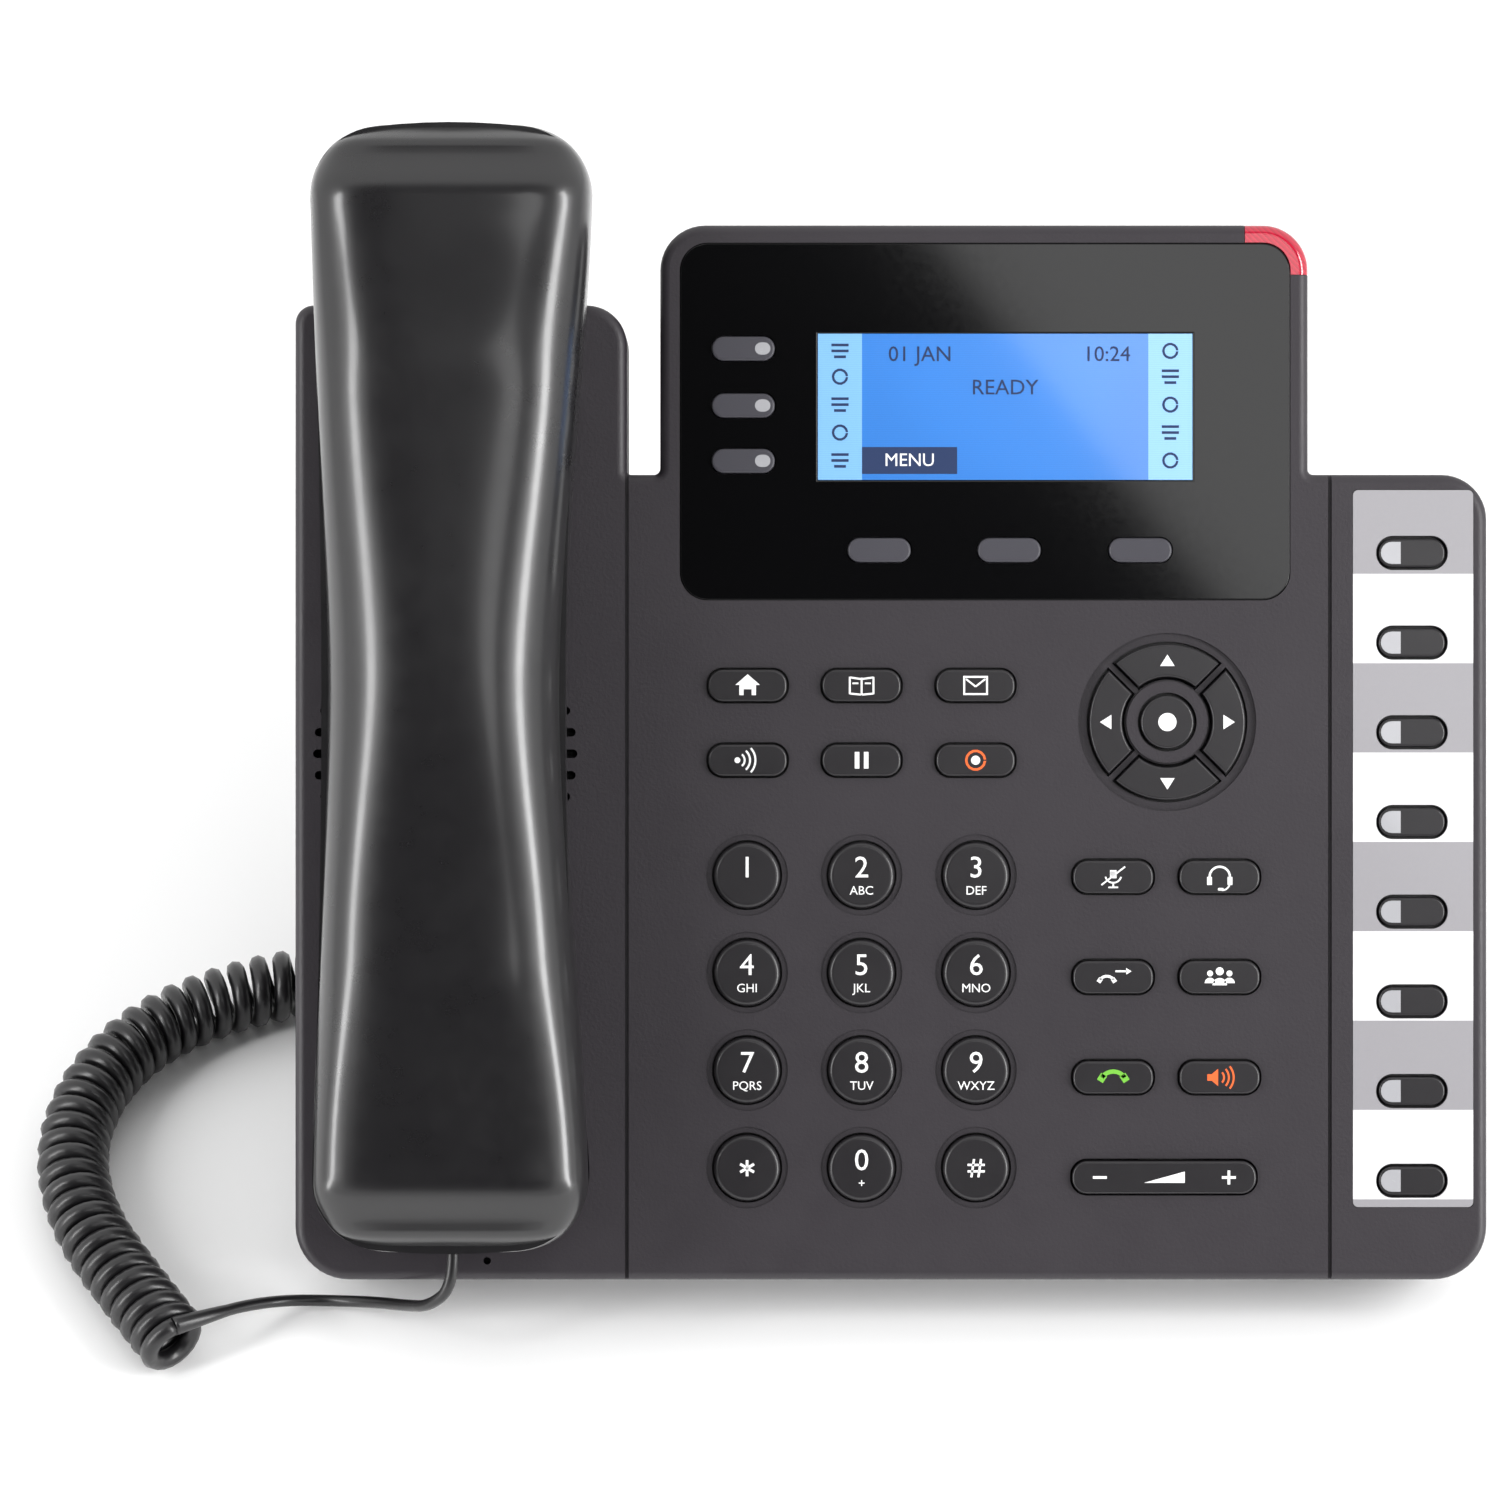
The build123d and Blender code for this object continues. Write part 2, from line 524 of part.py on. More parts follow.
with BuildPart() as main_board:
    with BuildSketch(FACE.offset(BOARD_LOW)):
        with Locations((16.0, 94.0)):
            Rectangle(112.4, 174.0)
        with Locations((90.0, 76.5)):
            Rectangle(36.0, 135.0)
        with Locations(*INNER_BOSSES):
            Circle(BOSS_RADIUS + 0.8, mode=Mode.SUBTRACT)
    extrude(amount=MAT_LOW - BOARD_LOW)
    # the board's arm to the handset socket
    with BuildSketch(FACE.offset(BOARD_LOW)):
        with Locations((-69.0, 67.0)):
            Rectangle(58.0, 18.0)
    extrude(amount=MAT_LOW - BOARD_LOW)
    for u, width, height, cavity_w, cavity_h, depth in SOCKETS.values():
        with Locations(socket_place(u, PORT_HIGH + depth / 2, height)):
            Box(width, depth, socket_span(height))
        with Locations(FACE * Location((u, PORT_HIGH, SOCKET_AXIS_W))):
            Box(cavity_w, 2 * (depth - 4), cavity_h, mode=Mode.SUBTRACT)
    with Locations(socket_place(POWER_U, PORT_HIGH + 7, POWER_H)):
        Box(POWER_W, 14, socket_span(POWER_H))
    power_mouth = Plane(
        origin=face_point(POWER_U, PORT_HIGH, SOCKET_AXIS_W), x_dir=(1, 0, 0), z_dir=FACE.y_dir
    )
    with BuildSketch(power_mouth):
        Circle(POWER_RADIUS)
        Circle(1.0, mode=Mode.SUBTRACT)
    extrude(amount=POWER_DEPTH, mode=Mode.SUBTRACT)
    # handset socket, with the cord's plug in it
    with Locations(socket_place(CORD_U, CORD_HIGH + CORD_SOCKET_DEPTH / 2, CORD_SOCKET_H)):
        Box(CORD_SOCKET_W, CORD_SOCKET_DEPTH, socket_span(CORD_SOCKET_H))
    with Locations(FACE * Location((CORD_U, CORD_HIGH, SOCKET_AXIS_W))):
        Box(7.8, 18, 7.0, mode=Mode.SUBTRACT)
    with Locations(FACE * Location((CORD_U, CORD_HIGH + 3, SOCKET_AXIS_W))):
        Box(7.6, 12, 6.6)
    # loudspeaker behind the grille and microphone capsule
    with BuildSketch(FACE.offset(-PLATE - 7.1)):
        with Locations(GRILLE):
            Circle(18.8)
    extrude(amount=7.0)
write(main_board, "main_board")

# ---------------------------------------------------------------- housing screws
with BuildPart() as housing_screws:
    with BuildSketch(FACE.offset(-BODY_DEPTH + 1.2)):
        with Locations(*BOSSES):
            Circle(SCREW_HEAD)
    extrude(amount=1.8)
    with BuildSketch(FACE.offset(-BODY_DEPTH + 3.0)):
        with Locations(*BOSSES):
            Circle(SCREW_RADIUS - 0.02)
    extrude(amount=16.0)
write(housing_screws, "housing_screws")

# ---------------------------------------------------------------- stand
STAND_HALF, STAND_WALL = 58.0, 3.2
STAND_LOW_V, STAND_HIGH_V = 104.0, 152.0
back_low = face_point(0, STAND_LOW_V, -BODY_DEPTH)
back_high = face_point(0, STAND_HIGH_V, -BODY_DEPTH)
STAND_FRONT_Y, STAND_REAR_Y, PAD = 38.0, 78.0, 1.2
SIDE = Plane(origin=(0, 0, 0), x_dir=(0, 1, 0), z_dir=(1, 0, 0))
with BuildPart() as stand:
    with BuildSketch(SIDE):
        with BuildLine():
            FilletPolyline(
                (back_low.Y, back_low.Z - 0.05),
                (back_high.Y, back_high.Z - 0.05),
                (STAND_REAR_Y, PAD),
                (STAND_FRONT_Y, PAD),
                radius=[3.0, 2.0, 4.0, 4.0],
                close=True,
            )
        make_face()
        offset(amount=-STAND_WALL, mode=Mode.SUBTRACT)
    extrude(amount=STAND_HALF, both=True)
    for u, v in TABS:
        with Locations(FACE * Location((u, v, -BODY_DEPTH - 0.05))):
            Box(10.0, 3.0, 4.6)
    # cable windows through the stand's walls
    with BuildSketch(Plane.XZ.offset(-200)):
        with Locations((0, 34.0)):
            RectangleRounded(76.0, 34.0, 6.0)
    extrude(amount=400, mode=Mode.SUBTRACT)
    # four rubber pads
    with BuildSketch(Plane.XY):
        with Locations(*[(u, y) for u in (-48, 48) for y in (STAND_FRONT_Y + 8, STAND_REAR_Y - 8)]):
            RectangleRounded(16, 9, 3)
    extrude(amount=PAD)
write(stand, "stand")

# ---------------------------------------------------------------- handset
with BuildPart() as crown_form:
    with BuildSketch(HANDSET.offset(HANDSET_SPLIT + 0.05)):
        add(handset_outline())
    extrude(amount=16)
    with BuildSketch(PROFILE.offset(-HALF_SPAN)):
        with BuildLine():
            ThreePointArc((6.6, 12), (9.4, 24.6), (18, 29.4))
            ThreePointArc((18, 29.4), (110, 35.6), (200, 30.2))
            ThreePointArc((200, 30.2), (210, 24.8), (213.5, 12))
            Line((213.5, 12), (6.6, 12))
        make_face()
    extrude(amount=2 * HALF_SPAN, mode=Mode.INTERSECT)

with BuildPart() as crown_cavity:
    with BuildSketch(HANDSET.offset(HANDSET_SPLIT - 1)):
        add(handset_outline(-HANDSET_WALL))
    extrude(amount=16)
    with BuildSketch(PROFILE.offset(-HALF_SPAN)):
        with BuildLine():
            ThreePointArc((11.0, 12), (13.0, 22.2), (20, 26.6))
            ThreePointArc((20, 26.6), (110, 33.0), (198, 27.4))
            ThreePointArc((198, 27.4), (207, 22.6), (209.4, 12))
            Line((209.4, 12), (11.0, 12))
        make_face()
    extrude(amount=2 * HALF_SPAN, mode=Mode.INTERSECT)

with BuildPart() as handset_outer_shell:
    add(crown_form.part)
    add(crown_cavity.part, mode=Mode.SUBTRACT)
write(handset_outer_shell, "handset_outer_shell")

UNDERSIDE = [
    (6.2, 40.0), (6.2, 1.0), (10.5, MOUTH_FACE), (43.0, MOUTH_FACE), (58.0, GRIP_UNDER),
    (157.0, GRIP_UNDER), (170.5, EAR_FACE), (206.0, EAR_FACE), (213.9, 2.0), (213.9, 40.0),
]
UNDERSIDE_RADII = [0, 2, 4, 6, 12, 12, 6, 6, 2, 0]
INSIDE = [
    (9.0, 30.0), (9.0, 2.0), (12.0, MOUTH_FACE + 2), (42.0, MOUTH_FACE + 2), (57.0, GRIP_UNDER + 2),
    (158.0, GRIP_UNDER + 2), (171.5, EAR_FACE + 2), (205.0, EAR_FACE + 2), (211.0, 3.0), (211.0, 30.0),
]
with BuildPart() as lower_cavity:
    with BuildSketch(HANDSET.offset(EAR_FACE - 1)):
        add(handset_outline(-HANDSET_WALL))
    extrude(amount=40)
    with BuildSketch(PROFILE.offset(-HALF_SPAN)):
        with BuildLine():
            FilletPolyline(*INSIDE, radius=[0, 1, 3, 7, 11, 11, 7, 5, 1, 0], close=True)
        make_face()
    extrude(amount=2 * HALF_SPAN, mode=Mode.INTERSECT)

with BuildPart() as handset_inner_shell:
    with BuildSketch(HANDSET.offset(EAR_FACE - 2)):
        add(handset_outline())
    extrude(amount=HANDSET_SPLIT - EAR_FACE + 2)
    with BuildSketch(PROFILE.offset(-HALF_SPAN)):
        with BuildLine():
            FilletPolyline(*UNDERSIDE, radius=UNDERSIDE_RADII, close=True)
        make_face()
    extrude(amount=2 * HALF_SPAN, mode=Mode.INTERSECT)
    add(lower_cavity.part, mode=Mode.SUBTRACT)
    # sound holes of the ear and mouth ends
    with BuildSketch(HANDSET.offset(EAR_FACE - 1)):
        with Locations((0, 189.0)):
            with PolarLocations(6.0, 6):
                Circle(1.1)
            Circle(1.1)
        with Locations(*[(x, 24.0) for x in (-4, 0, 4)]):
            Circle(0.8)
    extrude(amount=6, mode=Mode.SUBTRACT)
    # window for the cord's plug in the mouth end
    with Locations(HANDSET * Location((0, HANDSET_LOW, 8.0))):
        Box(8.0, 9, 7.0, mode=Mode.SUBTRACT)
write(handset_inner_shell, "handset_inner_shell")

with BuildPart() as handset_internals:
    # receiver, microphone, weight, and the socket with the cord's plug
    with BuildSketch(HANDSET.offset(EAR_FACE + 2.05)):
        with Locations((0, 189.0)):
            Circle(13.5)
    extrude(amount=7.0)
    with BuildSketch(HANDSET.offset(MOUTH_FACE + 2.05)):
        with Locations((0, 24.0)):
            Circle(5.5)
    extrude(amount=4.0)
    with BuildSketch(HANDSET.offset(GRIP_UNDER + 2.05)):
        with Locations((0, 108.0)):
            RectangleRounded(24.0, 70.0, 3)
    extrude(amount=6.0)
    with Locations(HANDSET * Location((0, 18.0, 8.0))):
        Box(11.0, 14.0, 10.0)
    with Locations(HANDSET * Location((0, 9.5, 8.0))):
        Box(7.6, 7.0, 6.6)
write(handset_internals, "handset_internals")

# ---------------------------------------------------------------- curly cord
PLUG_END = face_point(HANDSET_U, 6.0, 8.0)
BASE_PLUG_END = face_point(CORD_U, CORD_HIGH - 3.0, SOCKET_AXIS_W)
COIL_Z = COIL_DIAMETER / 2 + 0.05


def tangent_radii(points):
    """The largest arc of each corner that leaves straight pieces in both of its runs."""
    radii = []
    for before, here, after in zip(points, points[1:], points[2:]):
        first, second = here - before, after - here
        half_turn = radians(first.get_angle(second)) / 2
        radii.append(0.45 * min(first.length, second.length) / tan(half_turn))
    return radii


def cord_tube(points, diameter):
    """Sweep a round section along straight runs joined by tangent arcs."""
    radii = tangent_radii(points)
    print("radii", [round(radius, 1) for radius in radii])
    with BuildPart() as tube:
        with BuildLine():
            route = FilletPolyline(*points, radius=radii)
        with BuildSketch(Plane(origin=route @ 0, z_dir=route % 0)):
            Circle(diameter / 2)
        sweep(path=route)
    section = pi * diameter**2 / 4
    print("length", round(route.length, 1), "volume", round(tube.part.volume / (section * route.length), 3))
    return tube.part


# the coil on the desk, from under the phone round its left side to its open end
COIL_ROUTE = [
    Vector(x, FACE_Y + y, COIL_Z)
    for x, y in (
        (-77.0, 83.0), (-94.5, 88.0), (-112.0, 87.0), (-129.5, 82.0), (-144.5, 72.5),
        (-154.0, 58.0), (-157.0, 41.0), (-153.0, 24.5), (-144.5, 10.0), (-133.5, -6.0),
    )
]
with BuildPart() as handset_cord_coil:
    add(cord_tube(COIL_ROUTE, COIL_DIAMETER))
write(handset_cord_coil, "handset_cord_coil")

# the lead from the phone's socket down to the coil, and the lead from the coil to the handset
BASE_ROUTE = [
    BASE_PLUG_END,
    face_point(CORD_U, CORD_HIGH - 14.0, SOCKET_AXIS_W),
    face_point(CORD_U + 1, CORD_HIGH - 25.0, SOCKET_AXIS_W - 6),
    Vector(-81.0, FACE_Y + 49.5, 18.5),
    Vector(-74.5, FACE_Y + 56.5, 10.0),
    Vector(-66.5, FACE_Y + 63.0, 5.5),
    Vector(-61.5, FACE_Y + 71.5, 5.0),
    Vector(-64.0, FACE_Y + 80.0, 6.2),
    Vector(-77.0, FACE_Y + 83.0, COIL_Z),
]
HANDSET_ROUTE = [
    Vector(-133.5, FACE_Y - 6.0, COIL_Z + 5.2),
    Vector(-127.5, FACE_Y - 3.0, 11.6),
    Vector(-121.0, FACE_Y + 3.0, 7.6),
    Vector(-113.5, FACE_Y + 8.0, 3.2),
    Vector(-104.5, FACE_Y + 8.5, 2.4),
    Vector(-96.5, FACE_Y + 4.6, 6.6),
    Vector(-90.5, FACE_Y - 0.6, 11.8),
    face_point(-85.8, -4.6, 3.4),
    face_point(HANDSET_U, -0.6, 8.0),
    PLUG_END,
]
with BuildPart() as handset_cord_leads:
    add(cord_tube(BASE_ROUTE, LEAD_DIAMETER))
    add(cord_tube(HANDSET_ROUTE, LEAD_DIAMETER))
write(handset_cord_leads, "handset_cord_leads")
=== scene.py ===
"""Looks of the desk IP phone: finishes, printed legends, display picture, handset and curly cord."""

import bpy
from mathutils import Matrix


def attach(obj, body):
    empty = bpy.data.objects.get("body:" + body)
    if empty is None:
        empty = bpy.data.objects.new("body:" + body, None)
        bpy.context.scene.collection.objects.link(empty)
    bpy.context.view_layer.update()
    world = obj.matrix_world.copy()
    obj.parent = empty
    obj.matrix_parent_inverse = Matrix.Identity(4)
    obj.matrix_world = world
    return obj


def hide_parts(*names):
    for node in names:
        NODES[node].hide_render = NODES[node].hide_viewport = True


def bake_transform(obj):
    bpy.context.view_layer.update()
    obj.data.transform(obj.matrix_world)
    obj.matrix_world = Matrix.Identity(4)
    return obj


bl_info = {
    "name": "Desk IP Phone Looks",
    "version": (1, 0, 0),
    "blender": (4, 5, 0),
    "location": "View3D > Sidebar > Desk Phone",
    "description": "Dresses the desk phone frame with finishes, legends, display, handset and cords",
    "category": "Object",
}

from math import atan2, cos, pi, radians, sin

import bmesh
import bpy
from mathutils import Matrix, Vector

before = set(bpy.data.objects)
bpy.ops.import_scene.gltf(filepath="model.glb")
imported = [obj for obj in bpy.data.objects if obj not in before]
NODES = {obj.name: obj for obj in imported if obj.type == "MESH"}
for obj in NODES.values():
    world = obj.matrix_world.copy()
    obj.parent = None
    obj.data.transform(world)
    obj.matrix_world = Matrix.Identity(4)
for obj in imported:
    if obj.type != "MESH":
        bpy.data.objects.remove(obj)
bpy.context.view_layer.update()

MM = 0.001
TILT = radians(45)
FACE_Y, FACE_Z = -72.70, 18.385
# from face millimetres (u right, v up the face, w out of it) to the frame's metres
FACE = (
    Matrix.Scale(MM, 4)
    @ Matrix.Translation((0, FACE_Y, FACE_Z))
    @ Matrix.Rotation(TILT, 4, "X")
)
# from the frame's millimetres to its metres
FRAME = Matrix.Scale(MM, 4)
FACE_UP = (0, cos(TILT), sin(TILT))
FACE_START = (FACE_Y * cos(TILT) + FACE_Z * sin(TILT)) * MM  # of the face's lower edge along FACE_UP

# where the keys are on the face, and the height of each family's cap tops
LINE_KEYS = {f"line_key_{n + 1}": (-27.5, v) for n, v in enumerate((173.4, 162.8, 152.5))}
FEATURES = ("home", "phonebook", "message", "intercom", "hold", "record")
FEATURE_KEYS = {
    name: (-26.7 + 21.2 * (n % 3), 110.7 - 13.9 * (n // 3)) for n, name in enumerate(FEATURES)
}
DIAL = ("1", "2", "3", "4", "5", "6", "7", "8", "9", "star", "0", "hash")
DIAL_KEYS = {
    name: (-26.8 + 21.3 * (n % 3), 75.4 - 18.15 * (n // 3)) for n, name in enumerate(DIAL)
}
FUNCTIONS = ("mute", "headset", "transfer", "conference", "send", "speaker")
FUNCTION_KEYS = {
    name: (41.3 + 19.8 * (n % 2), 75.1 - 18.65 * (n // 2)) for n, name in enumerate(FUNCTIONS)
}
SPEED_KEYS = {f"speed_dial_key_{n + 1}": (97.0, 135.4 - 16.7 * n) for n in range(8)}
VOLUME, NAV = (50.8, 19.2), (51.4, 103.9)
LINE_TOP, PAD_TOP, DIAL_TOP, NAV_TOP, SPEED_TOP = 0.7, 1.2, 1.4, 0.7, -0.3
INK = 0.04                      # thickness of printed ink
HANDSET_U = -81.2
GRILLE = (-83.0, 98.0)

# the cord's route: from the phone's socket to the coil, round the phone's left side, and to the handset
COIL_Z = 7.05
BASE_ROUTE_FACE = [(-84, 63, -16.4), (-84, 52, -16.4), (-83, 41, -22.4)]
BASE_ROUTE = [
    (-81.0, 49.5, 18.5), (-74.5, 56.5, 10.0), (-66.5, 63.0, 5.5), (-61.5, 71.5, 5.0),
    (-64.0, 80.0, 6.2),
]
COIL_ROUTE = [
    (-77.0, 83.0), (-94.5, 88.0), (-112.0, 87.0), (-129.5, 82.0), (-144.5, 72.5),
    (-154.0, 58.0), (-157.0, 41.0), (-153.0, 24.5), (-144.5, 10.0), (-133.5, -6.0),
]
HANDSET_ROUTE = [
    (-133.5, -6.0, 12.25), (-127.5, -3.0, 11.6), (-121.0, 3.0, 7.6), (-113.5, 8.0, 3.2),
    (-104.5, 8.5, 2.4), (-96.5, 4.6, 6.6), (-90.5, -0.6, 11.8),
]
HANDSET_ROUTE_FACE = [(-85.8, -4.6, 3.4), (-81.2, -0.6, 8.0), (-81.2, 6.0, 8.0)]


def linear(code):
    """A colour in linear light from its usual six-figure code."""
    parts = [int(code[n : n + 2], 16) / 255 for n in (0, 2, 4)]
    return tuple(p / 12.92 if p <= 0.04045 else ((p + 0.055) / 1.055) ** 2.4 for p in parts)


def colour_property(name, code, description):
    return bpy.props.FloatVectorProperty(
        name=name, description=description, subtype="COLOR", size=3, min=0, max=1, default=linear(code)
    )


class DeskPhoneColours(bpy.types.PropertyGroup):
    """The colours that a user may change."""

    housing: colour_property("Housing", "2b272c", "Moulded housing of the base")
    handset: colour_property("Handset", "131214", "Shells of the handset")
    keys: colour_property("Keys", "1c1a1d", "Dial, feature and function keys")
    grey_keys: colour_property("Grey keys", "3c3b42", "Keys beside and under the display")
    window: colour_property("Window", "050506", "Display window")
    lamp: colour_property("Lamp", "a80c2c", "Message lamp lens")
    screen: colour_property("Screen", "2f74c4", "Display background")
    screen_side: colour_property("Screen sides", "78aee0", "Display columns at both sides")
    ink: colour_property("Ink", "f2f2f2", "Printed legends")
    label: colour_property("Label", "d8d7d9", "Paper label strip")
    label_band: colour_property("Label bands", "918f93", "Grey bands of the label strip")
    cord: colour_property("Cord", "161517", "Jacket of the curly cord")
    floor: colour_property("Floor", "ffffff", "Studio floor")


class DeskPhoneSizes(bpy.types.PropertyGroup):
    """The sizes that a user may change."""

    grain: bpy.props.FloatProperty(
        name="Grain", description="Size of the moulded texture's grains", unit="LENGTH", default=0.0006
    )
    turns: bpy.props.IntProperty(name="Turns", description="Turns of the curly cord", default=38, min=4)
    wire: bpy.props.FloatProperty(
        name="Wire", description="Thickness of the curly cord's jacket", unit="LENGTH", default=0.0036
    )
    coil: bpy.props.FloatProperty(
        name="Coil", description="Diameter across the curly cord's turns", unit="LENGTH", default=0.014
    )
    lead: bpy.props.FloatProperty(
        name="Lead", description="Thickness of the straight leads", unit="LENGTH", default=0.0022
    )


# ---------------------------------------------------------------- shader maths


class Term:
    """A socket of a material's nodes that can stand in a Python expression."""

    def __init__(self, finish, socket):
        self.finish, self.socket = finish, socket

    def _math(self, operation, first, second):
        made = self.finish.node("ShaderNodeMath", {0: first, 1: second}, operation=operation)
        return Term(self.finish, made.outputs[0])

    def __add__(self, other):
        return self._math("ADD", self, other)

    def __radd__(self, other):
        return self._math("ADD", other, self)

    def __sub__(self, other):
        return self._math("SUBTRACT", self, other)

    def __rsub__(self, other):
        return self._math("SUBTRACT", other, self)

    def __mul__(self, other):
        return self._math("MULTIPLY", self, other)

    def __rmul__(self, other):
        return self._math("MULTIPLY", other, self)

    def __truediv__(self, other):
        return self._math("DIVIDE", self, other)

    def __gt__(self, other):
        return self._math("GREATER_THAN", self, other)

    def fraction(self):
        return self._math("FRACT", self, 0.0)


class Finish:
    """One material: its shader's constants, and what varies over the surface."""

    MADE = {}                   # every material so far, by its finish's name

    def __init__(self, name, **constants):
        self.material = bpy.data.materials.new(f"phone_{name}")
        self.MADE[name] = self.material
        self.material.use_nodes = True
        self.tree = self.material.node_tree
        self.tree.nodes.clear()
        self.shader = self.node("ShaderNodeBsdfPrincipled")
        output = self.node("ShaderNodeOutputMaterial")
        self.tree.links.new(self.shader.outputs["BSDF"], output.inputs["Surface"])
        self.set(**constants)
        self.place = Term(self, self.node("ShaderNodeTexCoord").outputs["Object"])

    def feed(self, socket, value):
        if isinstance(value, Term):
            self.tree.links.new(value.socket, socket)
        elif hasattr(socket.default_value, "__len__") and len(socket.default_value) == 4:
            socket.default_value = (*value[:3], 1.0)
        else:
            socket.default_value = value

    def node(self, kind, inputs=None, **settings):
        made = self.tree.nodes.new(kind)
        for key, value in settings.items():
            setattr(made, key, value)
        for key, value in (inputs or {}).items():
            self.feed(made.inputs[key], value)
        return made

    def noise(self, size, detail=3.0, roughness=0.55):
        """Cloudy values from 0 to 1, with clouds about size metres across."""
        inputs = {"Vector": self.place, "Scale": 1 / size, "Detail": detail, "Roughness": roughness}
        return Term(self, self.node("ShaderNodeTexNoise", inputs).outputs["Fac"])

    def mix(self, factor, first, second):
        made = self.node("ShaderNodeMix", {"Factor": factor}, data_type="RGBA")
        self.feed(made.inputs[6], first)
        self.feed(made.inputs[7], second)
        return Term(self, made.outputs[2])

    def along(self, direction):
        """Distance along a direction of the frame, in metres."""
        inputs = {0: self.place, 1: direction}
        made = self.node("ShaderNodeVectorMath", inputs, operation="DOT_PRODUCT")
        return Term(self, made.outputs["Value"])

    def bump(self, height, strength, distance):
        inputs = {"Height": height, "Strength": strength, "Distance": distance}
        made = self.node("ShaderNodeBump", inputs)
        self.tree.links.new(made.outputs["Normal"], self.shader.inputs["Normal"])

    def set(self, **values):
        for key, value in values.items():
            self.feed(self.shader.inputs[key.replace("_", " ").title().replace("Ior", "IOR")], value)
        return self


def shade(colour, factor):
    return tuple(min(1.0, part * factor) for part in colour)


def plastic(name, colour, roughness, grain, depth=0.12, mottle=0.12, **constants):
    """Moulded plastic: a fine spark-eroded grain, cloudy gloss and faint handling marks."""
    finish = Finish(name, **constants)
    clouds = finish.noise(0.035, 2.0)
    rubs = finish.noise(0.006, 5.0, 0.7)
    base = finish.mix(clouds, shade(colour, 1 - mottle), shade(colour, 1 + mottle))
    finish.set(base_color=base, roughness=(rubs - 0.5) * 0.16 + (clouds - 0.5) * 0.10 + roughness)
    finish.bump(finish.noise(grain, 2.0), depth, grain * 0.35)
    return finish.material


# ---------------------------------------------------------------- pieces


def settings():
    scene = bpy.context.scene
    return scene.desk_phone_colours, scene.desk_phone_sizes


def finish_of(name):
    """The material of a finish that the finishes operator has made."""
    return Finish.MADE[name]


def add_mesh(name, mesh, body, slot, *materials, place=None):
    """One finished piece: its place goes into its mesh, and it rides on a body."""
    if place is not None:
        mesh.transform(place)
    mesh.name = name
    mesh.materials.clear()
    for material in materials:
        mesh.materials.append(material)
    piece = bpy.data.objects.new(name, mesh)
    bpy.context.scene.collection.objects.link(piece)
    if body:
        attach(piece, body)
    return piece


def mesh_from(form, smooth=False):
    """Turn a bmesh into a mesh with its faces outwards."""
    bmesh.ops.recalc_face_normals(form, faces=form.faces)
    mesh = bpy.data.meshes.new("form")
    form.to_mesh(mesh)
    form.free()
    if smooth:
        mesh.shade_smooth()
    return mesh


def raised(form, outline, low, thick):
    """A flat closed shape of that outline, standing from low to low + thick."""
    top = [form.verts.new((x, y, low + thick)) for x, y in outline]
    bottom = [form.verts.new((x, y, low)) for x, y in outline]
    form.faces.new(top)
    form.faces.new(reversed(bottom))
    for n in range(len(outline)):
        m = (n + 1) % len(outline)
        form.faces.new((top[n], bottom[n], bottom[m], top[m]))


def arc(x, y, radius, start, end, steps=14):
    """Points on an arc, from one angle to another in degrees."""
    turn = (end - start) / steps
    return [
        (x + radius * cos(radians(start + turn * n)), y + radius * sin(radians(start + turn * n)))
        for n in range(steps + 1)
    ]


def disc(x, y, radius):
    return arc(x, y, radius, 0, 345, 23)


def band(x, y, radius, width, start, end):
    """A curved stroke; a full turn is left with a hairline gap."""
    return arc(x, y, radius + width / 2, start, end) + arc(x, y, radius - width / 2, end, start)


def stroke(x0, y0, x1, y1, width):
    along = Vector((x1 - x0, y1 - y0)).normalized() * width / 2
    x, y = -along.y, along.x
    return [(x0 + x, y0 + y), (x0 - x, y0 - y), (x1 - x, y1 - y), (x1 + x, y1 + y)]


def block(x, y, width, height):
    w, h = width / 2, height / 2
    return [(x - w, y - h), (x + w, y - h), (x + w, y + h), (x - w, y + h)]


def pill(x, y, width, height):
    """A block with round ends."""
    radius, reach = height / 2, (width - height) / 2
    return arc(x + reach, y, radius, -90, 90, 8) + arc(x - reach, y, radius, 90, 270, 8)


def legend(name, body, shapes, u, v, top, slot="keys", finish="ink", thick=INK):
    """Printed shapes on a key or panel, drawn about (u, v) at that height over the face."""
    form = bmesh.new()
    for outline in shapes:
        raised(form, outline, 0.005, thick)
    place = FACE @ Matrix.Translation((u, v, top))
    return add_mesh(name, mesh_from(form), body, slot, finish_of(finish), place=place)


def words_mesh(text, size, u, v, top):
    """Raised lettering as a mesh in face millimetres, centred on (u, v)."""
    curve = bpy.data.curves.new("words", "FONT")
    curve.body, curve.size, curve.resolution_u = text, size, 3
    curve.align_x, curve.align_y, curve.extrude = "CENTER", "CENTER", INK / 2
    holder = bpy.data.objects.new("words", curve)
    bpy.context.scene.collection.objects.link(holder)
    view = bpy.context.evaluated_depsgraph_get()
    mesh = bpy.data.meshes.new_from_object(holder.evaluated_get(view), depsgraph=view)
    bpy.data.objects.remove(holder)
    mesh.transform(Matrix.Translation((u, v, top + INK / 2 + 0.005)))
    return mesh


def words(name, body, lines, top, slot="keys", finish="ink"):
    """Several pieces of lettering, each (text, size, u, v), as one piece."""
    form = bmesh.new()
    for text, size, u, v in lines:
        mesh = words_mesh(text, size, u, v, top)
        form.from_mesh(mesh)
        bpy.data.meshes.remove(mesh)
    bmesh.ops.remove_doubles(form, verts=form.verts, dist=0.0005)
    return add_mesh(name, mesh_from(form), body, slot, finish_of(finish), place=FACE)


